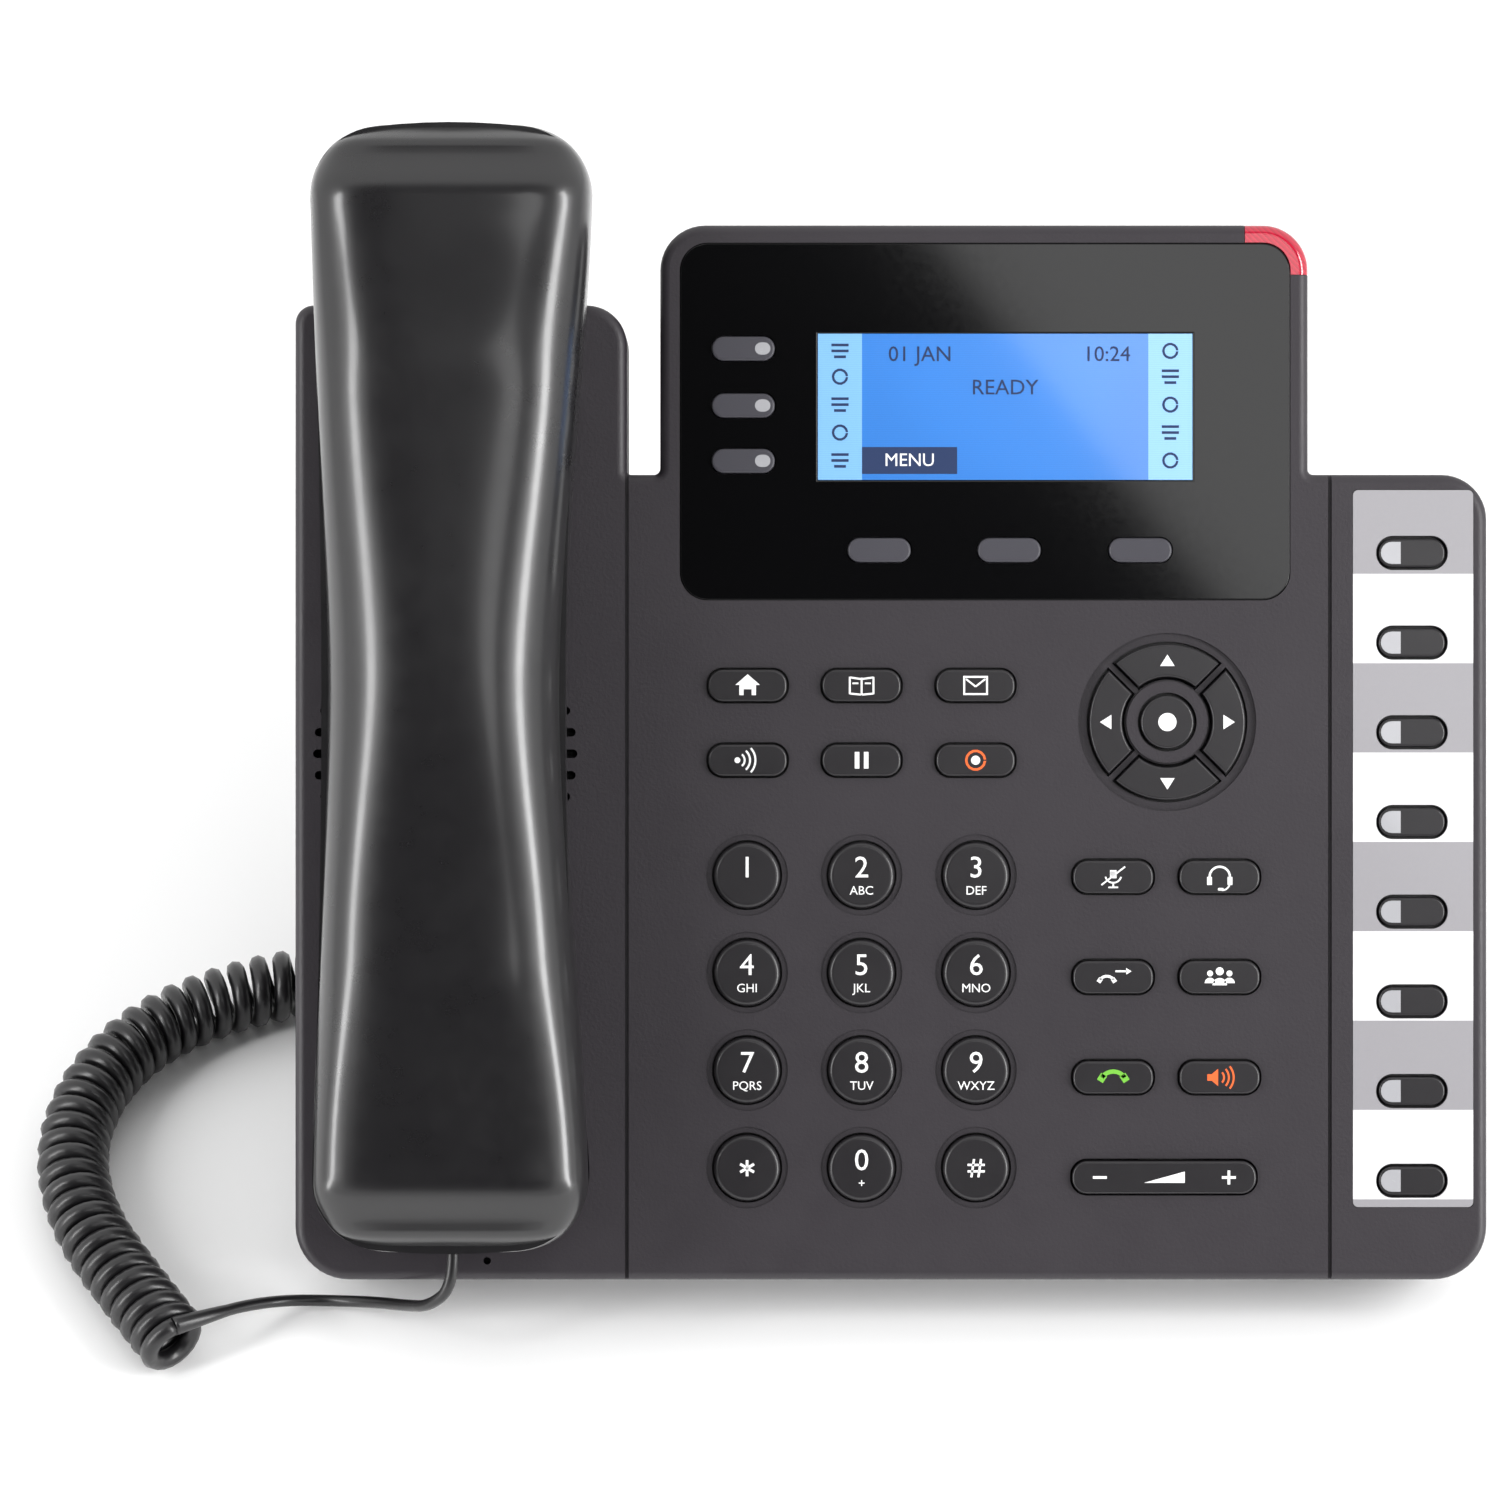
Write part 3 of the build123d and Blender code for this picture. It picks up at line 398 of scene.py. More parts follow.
def row_of_blocks(name, finish, **values):
    """A mesh of equal blocks in a row, made by Geometry Nodes; the inputs are the tree's own."""
    tree = bpy.data.node_groups.new(name + "_tree", "GeometryNodeTree")
    tree.interface.new_socket("Geometry", in_out="OUTPUT", socket_type="NodeSocketGeometry")
    for label, kind in (("Count", "Int"), ("Start", "Vector"), ("Pitch", "Vector"), ("Block", "Vector")):
        tree.interface.new_socket(label, in_out="INPUT", socket_type=f"NodeSocket{kind}")
    tree.interface.new_socket("Finish", in_out="INPUT", socket_type="NodeSocketMaterial")
    group, out = tree.nodes.new("NodeGroupInput"), tree.nodes.new("NodeGroupOutput")
    line, cube, spread, real, paint = (
        tree.nodes.new("GeometryNode" + kind)
        for kind in ("MeshLine", "MeshCube", "InstanceOnPoints", "RealizeInstances", "SetMaterial")
    )
    line.mode = "OFFSET"
    for source, target in (
        (group.outputs["Count"], line.inputs["Count"]),
        (group.outputs["Start"], line.inputs["Start Location"]),
        (group.outputs["Pitch"], line.inputs["Offset"]),
        (group.outputs["Block"], cube.inputs["Size"]),
        (line.outputs["Mesh"], spread.inputs["Points"]),
        (cube.outputs["Mesh"], spread.inputs["Instance"]),
        (spread.outputs["Instances"], real.inputs["Geometry"]),
        (real.outputs["Geometry"], paint.inputs["Geometry"]),
        (group.outputs["Finish"], paint.inputs["Material"]),
        (paint.outputs["Geometry"], out.inputs["Geometry"]),
    ):
        tree.links.new(source, target)
    holder = bpy.data.objects.new(name + "_rule", bpy.data.meshes.new(name + "_rule"))
    bpy.context.scene.collection.objects.link(holder)
    rule = holder.modifiers.new("Row", "NODES")
    rule.node_group = tree
    for item in tree.interface.items_tree:
        if item.in_out == "INPUT":
            rule[item.identifier] = finish if item.name == "Finish" else values[item.name.lower()]
    view = bpy.context.evaluated_depsgraph_get()
    mesh = bpy.data.meshes.new_from_object(holder.evaluated_get(view), depsgraph=view)
    bpy.data.objects.remove(holder)
    return mesh


def row_piece(name, body, slot, finish, place=FACE, **values):
    material = finish_of(finish)
    mesh = row_of_blocks(name, material, **values)
    return add_mesh(name, mesh, body, slot, material, place=place)


# ---------------------------------------------------------------- cords


def on_face(points):
    return [FACE @ Vector(point) for point in points]


def on_desk(points):
    """Route points given across, back from the phone's front edge, and up."""
    return [FRAME @ Vector((x, FACE_Y + y, z)) for x, y, z in points]


def route_line(points):
    """Close points along the smooth line of a route."""
    curve = bpy.data.curves.new("route", "CURVE")
    curve.dimensions, curve.resolution_u = "3D", 24
    spline = curve.splines.new("NURBS")
    spline.points.add(len(points) - 1)
    for point, place in zip(spline.points, points):
        point.co = (*place, 1)
    spline.order_u, spline.use_endpoint_u = 3, True
    holder = bpy.data.objects.new("route", curve)
    bpy.context.scene.collection.objects.link(holder)
    view = bpy.context.evaluated_depsgraph_get()
    mesh = bpy.data.meshes.new_from_object(holder.evaluated_get(view), depsgraph=view)
    line = [vertex.co.copy() for vertex in mesh.vertices]
    bpy.data.objects.remove(holder)
    bpy.data.meshes.remove(mesh)
    return line


class Line:
    """A polyline that is read by the distance along it, with frames that don't twist."""

    def __init__(self, points):
        self.points = [points[0]]
        for point in points[1:]:
            if (point - self.points[-1]).length > 1e-7:
                self.points.append(point)
        self.reach = [0.0]
        for a, b in zip(self.points, self.points[1:]):
            self.reach.append(self.reach[-1] + (b - a).length)
        self.length = self.reach[-1]
        self.ways = [(b - a).normalized() for a, b in zip(self.points, self.points[1:])]
        self.ways.append(self.ways[-1])
        side = self.ways[0].orthogonal().normalized()
        self.sides = []
        for way in self.ways:
            side = (side - way * side.dot(way)).normalized()
            self.sides.append(side)

    def at(self, distance):
        """Place, direction and side at that distance along."""
        distance = min(max(distance, 0.0), self.length)
        low, high = 0, len(self.reach) - 1
        while high - low > 1:
            middle = (low + high) // 2
            low, high = (middle, high) if self.reach[middle] <= distance else (low, middle)
        part = (distance - self.reach[low]) / (self.reach[high] - self.reach[low])
        place = self.points[low].lerp(self.points[high], part)
        way = self.ways[low].lerp(self.ways[high], part).normalized()
        side = self.sides[low].lerp(self.sides[high], part)
        return place, way, (side - way * side.dot(way)).normalized()


def tube(points, thickness, sides=10):
    """A closed tube along the points; thickness gives its diameter by place along, 0 to 1."""
    line = Line(points)
    form, rings = bmesh.new(), []
    turns = [2 * pi * k / sides for k in range(sides)]
    for place, way, side, reach in zip(line.points, line.ways, line.sides, line.reach):
        radius = thickness(reach / line.length) / 2
        other = way.cross(side)
        rings.append([
            form.verts.new(place + (side * cos(turn) + other * sin(turn)) * radius) for turn in turns
        ])
    for one, two in zip(rings, rings[1:]):
        for k in range(sides):
            form.faces.new((one[k], one[(k + 1) % sides], two[(k + 1) % sides], two[k]))
    form.faces.new(rings[0])
    form.faces.new(reversed(rings[-1]))
    return mesh_from(form, smooth=True)


TURN_STEPS, LEAD_STEPS = 24, 60  # points round a turn, and along the lead to the coil
CROWDING = 0.14                 # how much closer the turns lie towards the coil's end
COIL_EASE, THICKENING, THINNING = 0.008, 0.02, 0.012  # lengths over which the wire changes, in metres


def curly_line(route, start, sizes):
    """The wire's own line: straight to the coil's start, then round the route in turns to its end."""
    line = Line(route)
    radius = (sizes.coil - sizes.wire) / 2
    turns = sizes.turns
    last_place, last_way, last_side = line.at(line.length)
    other = last_way.cross(last_side)
    up = Vector((0, 0, 1))
    # the last turn ends on top of the coil
    last_angle = atan2(-up.dot(other), up.dot(last_side))
    points = [line.at(start * n / LEAD_STEPS)[0] for n in range(LEAD_STEPS)]
    steps = turns * TURN_STEPS
    for n in range(steps + 1):
        t = n / steps
        place, way, side = line.at(start + (line.length - start) * t)
        angle = last_angle - 2 * pi * turns * (1 - ((1 - CROWDING) * t + CROWDING * t * t))
        grown = min((line.length - start) * t / COIL_EASE, 1.0)
        reach = radius * grown * grown * (3 - 2 * grown)
        points.append(place + (side * cos(angle) - way.cross(side) * sin(angle)) * reach)
    return points


def line_length(points):
    return sum((b - a).length for a, b in zip(points, points[1:]))


# ---------------------------------------------------------------- handset


def blend_curve(stops, x):
    """A smooth value through (place, value) stops."""
    if x <= stops[0][0]:
        return stops[0][1]
    for (x0, y0), (x1, y1) in zip(stops, stops[1:]):
        if x <= x1:
            t = (x - x0) / (x1 - x0)
            return y0 + (y1 - y0) * t * t * (3 - 2 * t)
    return stops[-1][1]


# along the handset in millimetres: its half widths to the left and right, and the height of its crown
LEFT_SIDE = ((6.8, 25.4), (108, 22.9), (213.3, 25.8))
RIGHT_SIDE = ((6.8, 25.4), (108, 20.7), (213.3, 26.2))
CROWN = (
    (6.8, 21.0), (11, 25.6), (20, 29.0), (60, 32.6), (110, 34.8), (165, 32.8), (200, 29.6),
    (209, 26.2), (213.3, 21.5),
)
WAIST = ((6.8, 0.0), (60, 0.65), (112, 1.0), (165, 0.6), (213.3, 0.0))
HANDSET_LOW, HANDSET_HIGH, CORNER, RIM = 6.8, 213.1, 13.0, 12.4
BOXY, SOFTER = 5.2, 2.3         # squareness of the arch at the ends, and how much the waist loses of it
ARCHES, ARCH_STEPS = 96, 48


def corner_pull(v):
    """How far the rounded ends draw the sides in."""
    near = min(v - HANDSET_LOW, HANDSET_HIGH - v)
    if near >= CORNER:
        return 0.0
    return CORNER - (CORNER**2 - (CORNER - near) ** 2) ** 0.5


def handset_crown():
    """The crown as rings across the handset, each a rounded arch from rim to rim."""
    form, rows = bmesh.new(), []
    length = HANDSET_HIGH - HANDSET_LOW
    for n in range(ARCHES + 1):
        v = HANDSET_LOW + length * (0.5 - 0.5 * cos(pi * n / ARCHES))
        left = blend_curve(LEFT_SIDE, v) - corner_pull(v)
        right = blend_curve(RIGHT_SIDE, v) - corner_pull(v)
        top, ring = blend_curve(CROWN, v), []
        power = BOXY - SOFTER * blend_curve(WAIST, v)
        for k in range(ARCH_STEPS + 1):
            angle = pi * k / ARCH_STEPS
            x, z = -cos(angle), sin(angle)
            reach = (abs(x) ** power + z**power) ** (-1 / power)
            x, z = x * reach, z * reach
            side = left if x < 0 else right
            ring.append(form.verts.new((x * side, v, RIM + (top - RIM) * z)))
        rows.append(ring)
    for one, two in zip(rows, rows[1:]):
        for k in range(ARCH_STEPS):
            form.faces.new((one[k], one[k + 1], two[k + 1], two[k]))
    # the flat underside closes the arches from rim to rim
    for one, two in zip(rows, rows[1:]):
        form.faces.new((one[0], two[0], two[-1], one[-1]))
    form.faces.new(rows[0])
    form.faces.new(list(reversed(rows[-1])))
    return mesh_from(form, smooth=True)


# ---------------------------------------------------------------- operators


class PhoneOperator(bpy.types.Operator):
    """Base of the operators that build the phone's looks"""

    bl_options = {"REGISTER", "UNDO"}

    def execute(self, context):
        self.build(*settings())
        return {"FINISHED"}


class DESKPHONE_OT_finishes(PhoneOperator):
    """Make every finish and dress the frame's own parts in them"""

    bl_idname = "deskphone.finishes"
    bl_label = "Finishes"

    def build(self, colours, sizes):
        grain = sizes.grain
        plastic("housing", colours.housing, 0.46, grain, 0.22, 0.10)
        plastic("back", shade(colours.housing, 0.8), 0.55, grain * 1.5, 0.3)
        gloss = {"coat_weight": 0.5, "coat_roughness": 0.16}
        plastic("handset", colours.handset, 0.30, grain * 0.5, 0.03, 0.05, **gloss)
        plastic("key", colours.keys, 0.34, grain * 0.6, 0.06, 0.08, coat_weight=0.2, coat_roughness=0.2)
        plastic("grey_key", colours.grey_keys, 0.4, grain * 0.6, 0.06, 0.06)
        plastic("rubber", (0.012, 0.012, 0.013), 0.8, 0.0009, 0.4)
        plastic("silicone", (0.09, 0.09, 0.1), 0.6, 0.001, 0.2)
        plastic("ink", colours.ink, 0.5, 0.0003, 0.05, 0.03)
        plastic("led", (0.36, 0.36, 0.38), 0.25, 0.0005, 0.05, 0.05, coat_weight=0.6)
        plastic("orange", linear("e8642a"), 0.5, 0.0003, 0.05, 0.03)
        plastic("green", linear("6fb83a"), 0.5, 0.0003, 0.05, 0.03)
        plastic("screen_ink", linear("1b2f57"), 0.4, 0.0003, 0.05, 0.05)
        plastic("cord", colours.cord, 0.36, 0.0012, 0.06, 0.10, coat_weight=0.25, coat_roughness=0.25)
        plastic("gold", (0.75, 0.5, 0.18), 0.3, 0.0004, 0.05, 0.1, metallic=1.0)
        self.window(colours)
        self.screen(colours)
        self.lamp(colours)
        self.label(colours)
        self.board()
        self.steel()
        self.cloth()
        names = {
            "top_housing": "housing", "bottom_housing": "back", "display_window": "window",
            "lcd_module": "screen", "message_lamp": "lamp", "label_strip": "label",
            "keypad_mat": "silicone", "main_board": "board", "housing_screws": "steel",
            "stand": "back", "handset_outer_shell": "handset", "handset_inner_shell": "handset",
            "handset_internals": "rubber", "handset_cord_coil": "cord", "handset_cord_leads": "cord",
            "hook_switch": "housing",
        }
        for node, piece in NODES.items():
            grey = node.startswith(("line_key", "soft_key"))
            material = finish_of(names.get(node, "grey_key" if grey else "key"))
            if not piece.material_slots:
                piece.data.materials.append(material)
            for holder in piece.material_slots:
                holder.material = material

    def window(self, colours):
        finish = Finish("window", specular_ior_level=0.35)
        dust = finish.noise(0.0012, 6.0, 0.8)
        finish.set(base_color=colours.window, roughness=dust * 0.08 + 0.03)
        finish.bump(finish.noise(0.02, 2.0), 0.02, 0.0002)

    def screen(self, colours):
        middle, reach, cell_lines = 0.02125, 0.02665, 2900.0
        gloss = {"roughness": 0.2, "coat_weight": 0.8, "coat_roughness": 0.05}
        finish = Finish("screen", emission_strength=0.18, **gloss)
        across = finish.along((1, 0, 0)) - middle
        side = (across * across) > reach**2
        cells = finish.along(FACE_UP) * cell_lines
        line = (cells.fraction() > 0.82) * 0.25
        dim, bright = shade(colours.screen, 0.85), shade(colours.screen, 1.12)
        glow = finish.mix(finish.noise(0.03, 1.0), dim, bright)
        tint = finish.mix(side, glow, colours.screen_side)
        tint = finish.mix(line, tint, shade(colours.screen, 0.5))
        finish.set(base_color=tint, emission_color=tint)

    def lamp(self, colours):
        flutes = 900.0
        gloss = {"roughness": 0.12, "coat_weight": 1.0, "coat_roughness": 0.03}
        # the faint emission paints a glow into the lens in place of its inner highlight
        finish = Finish("lamp", emission_strength=0.18, **gloss)
        ribs = (finish.along((1, 0, 0)) + finish.along(FACE_UP)) * flutes
        # painted highlight and shade: each rib runs from darker to lighter red, as if lit across its slope
        rib_highlight_and_shade = finish.mix(ribs.fraction(), shade(colours.lamp, 0.75), shade(colours.lamp, 1.25))
        finish.set(base_color=rib_highlight_and_shade, emission_color=rib_highlight_and_shade)
        finish.bump(ribs.fraction(), 0.15, 0.0003)

    def label(self, colours):
        finish = Finish("label", coat_weight=0.35, coat_roughness=0.12)
        top_band, band_pair = 131.5, 33.27
        height = (finish.along(FACE_UP) - FACE_START) * 1000.0
        grey_or_white = ((height - top_band) / band_pair + 8.0).fraction() > 0.5
        fibres = finish.noise(0.0007, 5.0, 0.7)
        white = finish.mix(fibres, shade(colours.label, 0.96), shade(colours.label, 1.02))
        grey = finish.mix(fibres, shade(colours.label_band, 0.95), shade(colours.label_band, 1.03))
        finish.set(base_color=finish.mix(grey_or_white, grey, white), roughness=fibres * 0.2 + 0.5)
        finish.bump(fibres, 0.08, 0.0001)

    def board(self):
        finish = Finish("board")
        traces = finish.noise(0.004, 1.0) > 0.55
        glass = finish.noise(0.0006, 4.0)
        metal = finish.along((0, sin(TILT), -cos(TILT)))
        green = finish.mix(traces, (0.012, 0.07, 0.03), (0.02, 0.12, 0.05))
        socket = metal > (FACE_Y * sin(TILT) - FACE_Z * cos(TILT) + 8.0) * MM
        finish.set(
            base_color=finish.mix(socket, green, (0.03, 0.03, 0.032)), roughness=glass * 0.3 + 0.3
        )
        finish.bump(glass, 0.1, 0.0002)

    def steel(self):
        finish = Finish("steel", metallic=0.9)
        wear = finish.noise(0.0009, 5.0, 0.7)
        bare = finish.mix(wear, (0.22, 0.22, 0.23), (0.4, 0.4, 0.41))
        finish.set(base_color=bare, roughness=wear * 0.3 + 0.25)
        finish.bump(wear, 0.1, 0.0002)

    def cloth(self):
        finish = Finish("cloth", roughness=0.9)
        threads = 1400.0
        warp = (finish.along((1, 0, 0)) * threads).fraction()
        weft = (finish.along(FACE_UP) * threads).fraction()
        weave = (warp > 0.5) * 0.5 + (weft > 0.5) * 0.5
        finish.set(base_color=finish.mix(weave, (0.006, 0.006, 0.006), (0.02, 0.02, 0.021)))
        finish.bump(weave, 0.4, 0.0002)


class DESKPHONE_OT_legends(PhoneOperator):
    """Print the legends and set the light windows of the keys"""

    bl_idname = "deskphone.legends"
    bl_label = "Key legends"

    LETTERS = {
        "2": "ABC", "3": "DEF", "4": "GHI", "5": "JKL", "6": "MNO", "7": "PQRS", "8": "TUV", "9": "WXYZ",
        "0": "+",
    }
    RECEIVER = [
        band(0, -1.5, 2.6, 0.8, 35, 145),
        stroke(-2.5, -0.7, -1.7, 0.5, 1.3), stroke(2.5, -0.7, 1.7, 0.5, 1.3),
    ]
    ICONS = {
        "home": [
            [(-2.3, 0.1), (2.3, 0.1), (0, 2.1)],
            block(-1.15, -0.85, 0.8, 1.9), block(1.15, -0.85, 0.8, 1.9), block(0, -0.3, 1.5, 0.8),
        ],
        "phonebook": [
            block(-2.2, 0, 0.35, 3.2), block(2.2, 0, 0.35, 3.2), block(0, -0.15, 0.35, 3.2),
            stroke(-2.2, 1.5, -0.1, 1.2, 0.35), stroke(2.2, 1.5, 0.1, 1.2, 0.35),
            stroke(-2.2, -1.5, -0.1, -1.7, 0.35), stroke(2.2, -1.5, 0.1, -1.7, 0.35),
            block(-1.15, 0.4, 1.1, 0.3), block(1.15, 0.4, 1.1, 0.3),
        ],
        "message": [
            block(0, 1.6, 4.6, 0.35), block(0, -1.6, 4.6, 0.35), block(-2.12, 0, 0.35, 2.85),
            block(2.12, 0, 0.35, 2.85), stroke(-1.8, 1.2, 0, -0.2, 0.32), stroke(1.8, 1.2, 0, -0.2, 0.32),
        ],
        "intercom": [
            disc(-1.9, 0, 0.55), band(-1.9, 0, 1.35, 0.36, -52, 52), band(-1.9, 0, 2.35, 0.36, -48, 48),
            band(-1.9, 0, 3.35, 0.36, -42, 42),
        ],
        "hold": [block(-0.85, 0, 0.85, 3.1), block(0.85, 0, 0.85, 3.1)],
        "record": [disc(0, 0, 0.85)],
        "mute": [
            pill(0, 0.6, 1.2, 1.0), block(0, 0.5, 1.2, 1.5), band(0, 0.4, 1.5, 0.3, 195, 345),
            block(0, -1.5, 0.3, 0.8), block(0, -1.95, 1.8, 0.28), stroke(-2.2, -1.5, 2.2, 1.9, 0.3),
        ],
        "headset": [
            band(0, 0, 1.9, 0.4, 0, 180), block(-1.9, -0.75, 0.9, 1.5), block(1.9, -0.75, 0.9, 1.5),
            band(0.4, -1.0, 1.5, 0.28, 270, 350), pill(0.2, -2.3, 1.1, 0.5),
        ],
        "transfer": [
            *[[(x * 0.62 - 1.2, y * 0.62 - 0.5) for x, y in part] for part in RECEIVER],
            block(1.5, 1.1, 2.2, 0.35), [(2.4, 0.5), (3.4, 1.1), (2.4, 1.7)],
        ],
        "conference": [
            disc(-1.8, 0.7, 0.55), disc(1.8, 0.7, 0.55), disc(0, 1.1, 0.75),
            arc(-1.8, -1.1, 1.0, 0, 180, 10), arc(1.8, -1.1, 1.0, 0, 180, 10), arc(0, -1.5, 1.35, 0, 180, 12),
        ],
    }
    SPEAKER = [
        [(-2.3, -0.6), (-1.5, -0.6), (-0.3, -1.6), (-0.3, 1.6), (-1.5, 0.6), (-2.3, 0.6)],
        band(-0.6, 0, 1.4, 0.35, -42, 42), band(-0.6, 0, 2.3, 0.35, -42, 42),
        band(-0.6, 0, 3.2, 0.35, -40, 40),
    ]

    def build(self, colours, sizes):
        for name, (u, v) in DIAL_KEYS.items():
            key = f"{name}_key" if name in ("star", "hash") else f"digit_{name}_key"
            if name == "star":
                rays = [(1.5 * cos(a), 1.5 * sin(a)) for a in (pi / 2, pi / 6, -pi / 6)]
                shapes = [stroke(-x, -y, x, y, 0.5) for x, y in rays]
                legend("legend_star", key, shapes, u, v, DIAL_TOP)
            elif name == "hash":
                shapes = [stroke(-0.9, -1.7, -0.4, 1.7, 0.42), stroke(0.4, -1.7, 0.9, 1.7, 0.42)]
                shapes += [block(0, 0.6, 3.2, 0.42), block(0, -0.6, 3.2, 0.42)]
                legend("legend_hash", key, shapes, u, v, DIAL_TOP)
            else:
                lines = [(name, 5.6, u, v + 1.3)]
                if name in self.LETTERS:
                    lines.append((self.LETTERS[name], 2.3, u, v - 2.9))
                words(f"legend_digit_{name}", key, lines, DIAL_TOP)
        for name, shapes in self.ICONS.items():
            u, v = {**FEATURE_KEYS, **FUNCTION_KEYS}[name]
            legend(f"legend_{name}", f"{name}_key", shapes, u, v, PAD_TOP)
        u, v = FEATURE_KEYS["record"]
        ring = [band(0, 0, 1.75, 0.45, 4, 356)]
        legend("legend_record_ring", "record_key", ring, u, v, PAD_TOP, finish="orange")
        for name, shapes, ink in (("send", self.RECEIVER, "green"), ("speaker", self.SPEAKER, "orange")):
            legend(f"legend_{name}", f"{name}_key", shapes, *FUNCTION_KEYS[name], PAD_TOP, finish=ink)
        wedge = [block(-12.0, 0, 2.6, 0.5), block(12.0, 0, 2.6, 0.5), block(12.0, 0.78, 0.5, 1.05)]
        wedge += [block(12.0, -0.78, 0.5, 1.05), [(-3.8, -1.0), (3.8, -1.0), (3.8, 1.1)]]
        legend("legend_volume", "volume_key", wedge, *VOLUME, PAD_TOP)
        for name, turn in (("right", 0), ("up", 90), ("left", 180), ("down", 270)):
            tip = [(11.3 + r * 1.25, q) for r, q in ((1, 0), (-0.7, 1.35), (-0.7, -1.35))]
            a = radians(turn)
            shape = [(x * cos(a) - y * sin(a), x * sin(a) + y * cos(a)) for x, y in tip]
            legend(f"legend_nav_{name}", f"nav_{name}_key", [shape], *NAV, NAV_TOP)
        legend("legend_ok", "ok_key", [disc(0, 0, 1.7)], *NAV, NAV_TOP)
        for name, (u, v) in LINE_KEYS.items():
            legend(f"{name}_light", name, [pill(3.6, 0, 2.9, 2.3)], u, v, LINE_TOP, "display_keys", "led")
        for name, (u, v) in SPEED_KEYS.items():
            left = arc(-3.75, 0, 2.05, 90, 270, 10) + [(-2.1, -2.05), (-2.1, 2.05)]
            legend(f"{name}_light", name, [left], u, v, SPEED_TOP, "speed_keys", "led", 0.08)


class DESKPHONE_OT_display(PhoneOperator):
    """Draw the display's generic picture"""

    bl_idname = "deskphone.display"
    bl_label = "Display picture"

    TOP = -0.1

    def build(self, colours, sizes):
        top = self.TOP
        lines = [("01 JAN", 4.0, 5.4, 172.3), ("10:24", 4.0, 40.2, 172.3), ("READY", 4.0, 21.2, 166.1)]
        words("screen_text", "base", lines, top, "lcd", "screen_ink")
        legend("screen_menu_box", "base", [block(0, 0, 17.7, 5.0)], 3.45, 152.6, top, "lcd", "screen_ink")
        words("screen_menu_text", "base", [("MENU", 3.4, 3.45, 152.6)], top + INK, "lcd", "ink")
        for side, u in (("left", -9.5), ("right", 52.0)):
            shapes = []
            for n, v in enumerate((173.0, 168.2, 163.0, 157.8, 152.6)):
                if (n + (side == "left")) % 2:
                    shapes.append(block(0, v - 162.6, 3.2, 0.5))
                    shapes.append(block(0, v - 161.5, 3.2, 0.5))
                    shapes.append(block(0, v - 163.7, 2.2, 0.5))
                else:
                    shapes.append(band(0, v - 162.6, 1.3, 0.45, 4, 356))
            legend(f"screen_icons_{side}", "base", shapes, u, 162.6, top, "lcd", "screen_ink")


class DESKPHONE_OT_cords(PhoneOperator):
    """Lay the curly cord and its lead to the handset"""

    bl_idname = "deskphone.cords"
    bl_label = "Cords"

    def build(self, colours, sizes):
        coil = [(x, y, COIL_Z) for x, y in COIL_ROUTE]
        route = route_line(on_face(BASE_ROUTE_FACE) + on_desk(BASE_ROUTE + coil))
        first = on_desk(coil[:1])[0]
        walk, start, nearest = 0.0, 0.0, 1.0
        for a, b in zip(route, route[1:]):
            walk += (b - a).length
            if (b - first).length < nearest:
                nearest, start = (b - first).length, walk
        points = curly_line(route, start, sizes)
        lead, wire = sizes.lead, sizes.wire

        def thickness(t):
            reached = t * total
            if reached < start:
                return lead
            return lead + (wire - lead) * min((reached - start) / THICKENING, 1.0)

        total = line_length(points)
        cord = add_mesh("curly_cord", tube(points, thickness, 8), "base", "cord", finish_of("cord"))
        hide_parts("handset_cord_coil")
        # the lead goes on from the coil's last turn
        path = route_line([points[-1]] + on_desk(HANDSET_ROUTE[1:]) + on_face(HANDSET_ROUTE_FACE))
        steps, smooth = 2 * LEAD_STEPS, Line(path)
        path = [smooth.at(smooth.length * n / steps)[0] for n in range(steps + 1)]
        reach = line_length(path)

        def taper(t):
            return lead + (wire - lead) * max(0.0, 1 - t * reach / THINNING)

        mesh = tube(path, taper, 12)
        end = add_mesh("handset_lead", mesh, None, "cord", finish_of("cord"))
        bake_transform(end)
        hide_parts("handset_cord_leads")


class DESKPHONE_OT_handset(PhoneOperator):
    """Shape the handset's smooth crown"""

    bl_idname = "deskphone.handset"
    bl_label = "Handset crown"

    def build(self, colours, sizes):
        place = FACE @ Matrix.Translation((HANDSET_U, 0, 0))
        gloss = finish_of("handset")
        crown = add_mesh("handset_crown", handset_crown(), "handset", "handset", gloss, place=place)
        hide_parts("handset_outer_shell")


class DESKPHONE_OT_details(PhoneOperator):
    """Add the small parts: grille cloth and socket contacts"""

    bl_idname = "deskphone.details"
    bl_label = "Small parts"

    def build(self, colours, sizes):
        form = bmesh.new()
        raised(form, disc(0, 0, 26.0), 0.0, 0.03)
        cloth_place = FACE @ Matrix.Translation((*GRILLE, -3.06))
        add_mesh("grille_cloth", mesh_from(form), "base", "board", finish_of("cloth"), place=cloth_place)
        for name, u in (("lan", -25.0), ("pc", -3.0)):
            row_piece(
                f"{name}_contacts", "base", "board", "gold", count=8, start=(u - 3.5, 74.0, -19.5),
                pitch=(1.0, 0, 0), block=(0.4, 8.0, 0.3),
            )


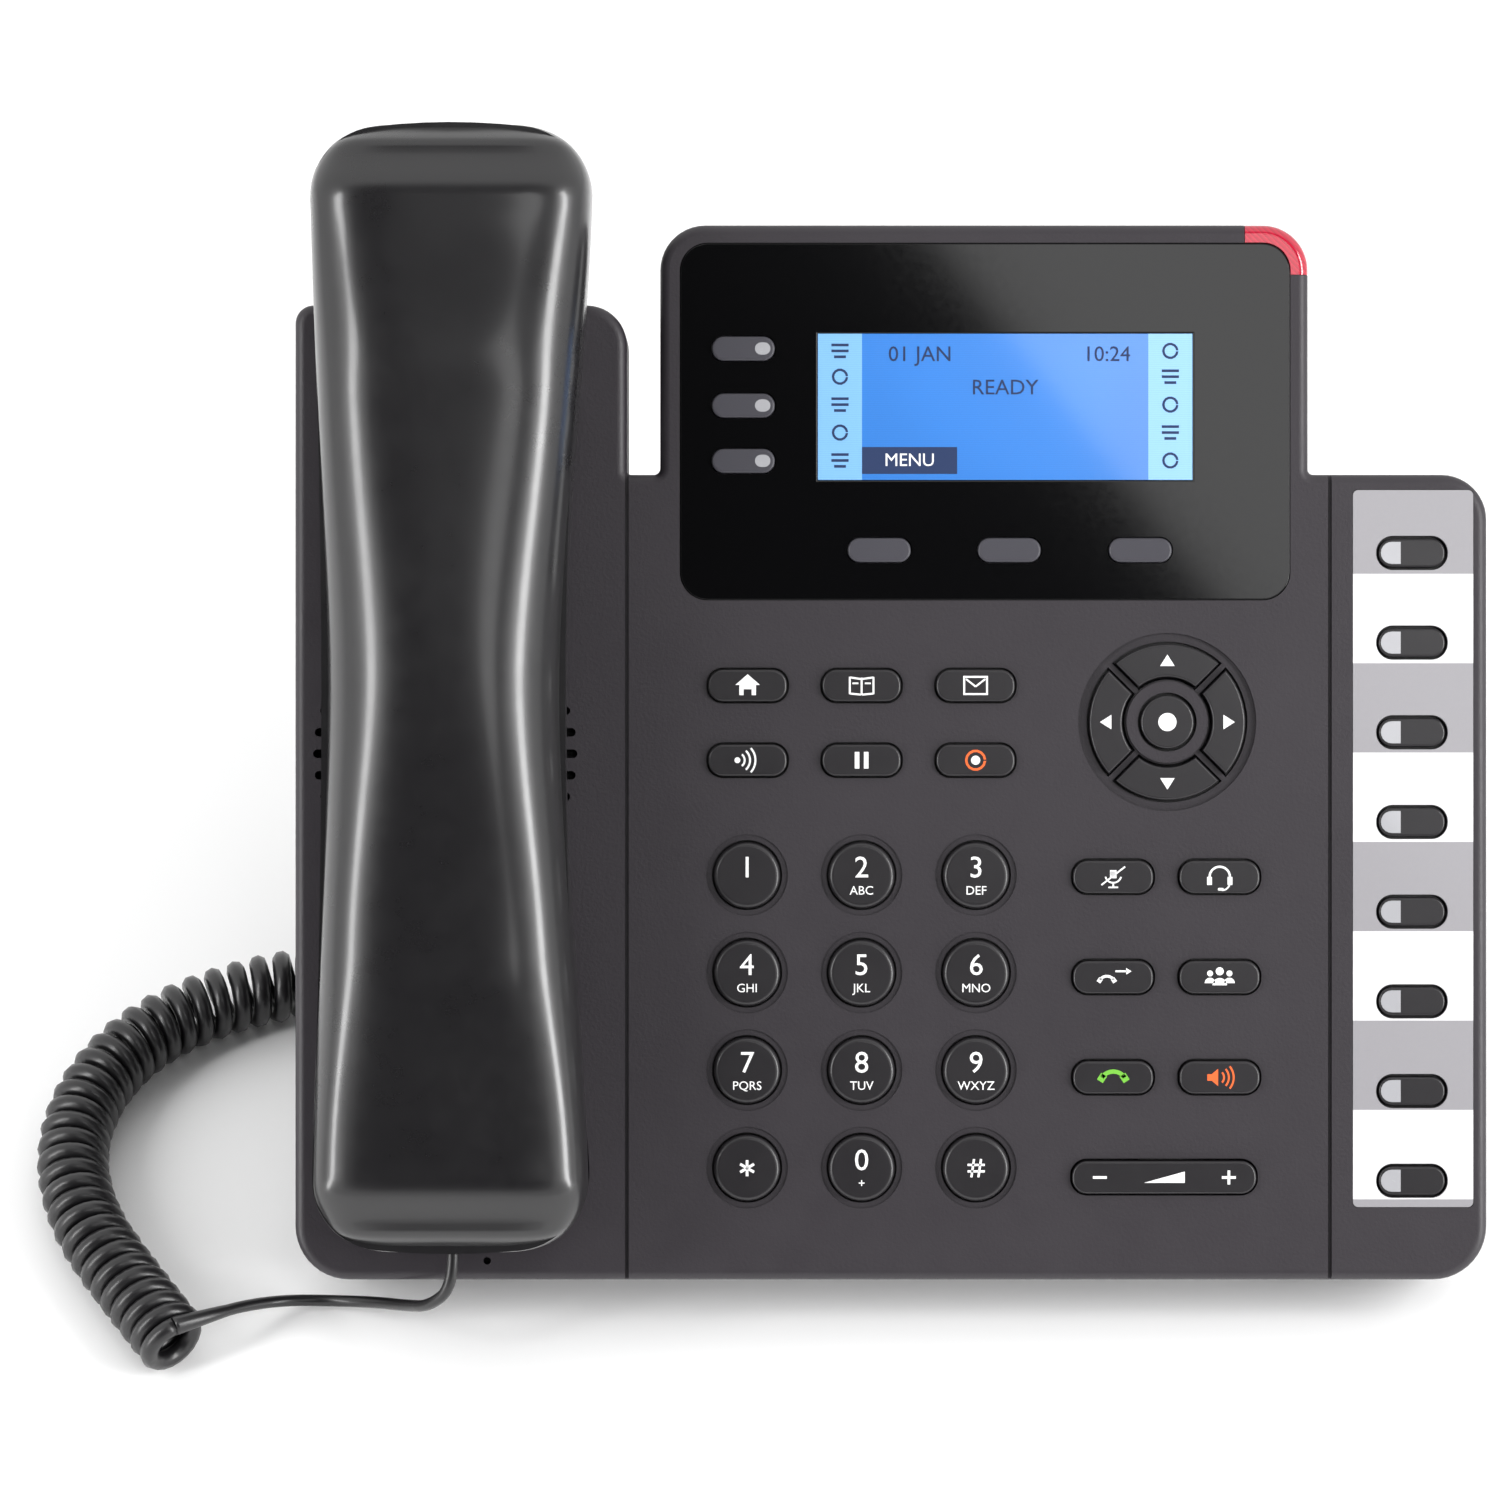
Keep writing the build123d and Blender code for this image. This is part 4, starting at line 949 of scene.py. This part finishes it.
class DESKPHONE_OT_stage(PhoneOperator):
    """Set the floor, the soft lights and the camera"""

    bl_idname = "deskphone.stage"
    bl_label = "Stage"

    # name, place on the face in millimetres, width and height in metres, power in watts
    LIGHTS = (
        ("left_panel", (-820, 60, 560), 0.13, 0.9, 5.2),
        ("right_panel", (760, 100, 560), 0.16, 0.9, 8.0),
    )

    def build(self, colours, sizes):
        form = bmesh.new()
        bmesh.ops.create_grid(form, x_segments=1, y_segments=1, size=6.0)
        mesh = bpy.data.meshes.new("floor")
        form.to_mesh(mesh)
        form.free()
        finish = Finish("floor")
        clouds = finish.noise(0.5, 2.0)
        finish.set(base_color=colours.floor, roughness=clouds * 0.1 + 0.85)
        mesh.materials.append(finish.material)
        floor = bpy.data.objects.new("floor", mesh)
        floor.location.z = -0.0003
        bpy.context.scene.collection.objects.link(floor)
        world = bpy.data.worlds.new("studio")
        world.use_nodes = True
        self.sky(world.node_tree)
        bpy.context.scene.world = world
        middle = FACE @ Vector((0, 95, 0))
        for name, place, width, height, power in self.LIGHTS:
            self.panel(name, FACE @ Vector(place), middle, width, height, power)
        # the card whose slanting edge crosses the window's reflection
        card = self.panel("window_card", FACE @ Vector((205, 262, 1215)), middle, 0.22, 0.62, 1.3)
        card.matrix_world = (
            Matrix.Translation(FACE @ Vector((205, 262, 1215)))
            @ Matrix.Rotation(TILT, 4, "X") @ Matrix.Rotation(radians(38), 4, "Z")
        )
        camera = bpy.data.cameras.new("camera")
        camera.lens, camera.sensor_width = 154.7, 36.0
        camera.clip_start, camera.clip_end = 0.05, 20.0
        holder = bpy.data.objects.new("camera", camera)
        holder.location = FACE @ Vector((-26.26, 98.70, 1200))
        holder.rotation_euler = (TILT, 0, 0)
        bpy.context.scene.collection.objects.link(holder)
        bpy.context.scene.camera = holder
        bpy.context.scene.view_settings.view_transform = "Standard"

    def sky(self, tree):
        """A pale sky that darkens towards the direction the phone's face looks in."""
        place = tree.nodes.new("ShaderNodeTexCoord").outputs["Generated"]
        toward = tree.nodes.new("ShaderNodeVectorMath")
        toward.operation = "DOT_PRODUCT"
        toward.inputs[1].default_value = (0, -sin(TILT), cos(TILT))
        fall = tree.nodes.new("ShaderNodeMapRange")
        fall.interpolation_type = "SMOOTHSTEP"
        for socket, value in zip(fall.inputs[1:5], (0.70, 0.93, 1.15, 0.06)):
            socket.default_value = value
        tree.links.new(place, toward.inputs[0])
        tree.links.new(toward.outputs["Value"], fall.inputs[0])
        tree.links.new(fall.outputs[0], tree.nodes["Background"].inputs["Strength"])
        tree.nodes["Background"].inputs["Color"].default_value = (1, 1, 1, 1)

    def panel(self, name, place, target, width, height, power):
        light = bpy.data.lights.new(name, "AREA")
        light.shape, light.size, light.size_y, light.energy = "RECTANGLE", width, height, power
        holder = bpy.data.objects.new(name, light)
        holder.location = place
        holder.rotation_euler = (target - place).to_track_quat("-Z", "Y").to_euler()
        bpy.context.scene.collection.objects.link(holder)
        return holder


class DESKPHONE_PT_panel(bpy.types.Panel):
    """Lists the operators and the values that they use"""

    bl_idname = "DESKPHONE_PT_panel"
    bl_label = "Desk Phone"
    bl_space_type = "VIEW_3D"
    bl_region_type = "UI"
    bl_category = "Desk Phone"

    def draw(self, context):
        for group in (context.scene.desk_phone_colours, context.scene.desk_phone_sizes):
            for name in group.bl_rna.properties.keys():
                if name not in ("name", "rna_type"):
                    self.layout.prop(group, name)
        for kind in OPERATORS:
            self.layout.operator(kind.bl_idname)


OPERATORS = (
    DESKPHONE_OT_stage, DESKPHONE_OT_finishes, DESKPHONE_OT_cords, DESKPHONE_OT_handset,
    DESKPHONE_OT_legends, DESKPHONE_OT_display, DESKPHONE_OT_details,
)
CLASSES = (DeskPhoneColours, DeskPhoneSizes, *OPERATORS, DESKPHONE_PT_panel)


def register():
    for kind in CLASSES:
        bpy.utils.register_class(kind)
    bpy.types.Scene.desk_phone_colours = bpy.props.PointerProperty(type=DeskPhoneColours)
    bpy.types.Scene.desk_phone_sizes = bpy.props.PointerProperty(type=DeskPhoneSizes)


def unregister():
    del bpy.types.Scene.desk_phone_sizes
    del bpy.types.Scene.desk_phone_colours
    for kind in reversed(CLASSES):
        bpy.utils.unregister_class(kind)


def main():
    register()
    for kind in OPERATORS:
        group, name = kind.bl_idname.split(".")
        getattr(getattr(bpy.ops, group), name)()


if __name__ == "__main__":
    main()
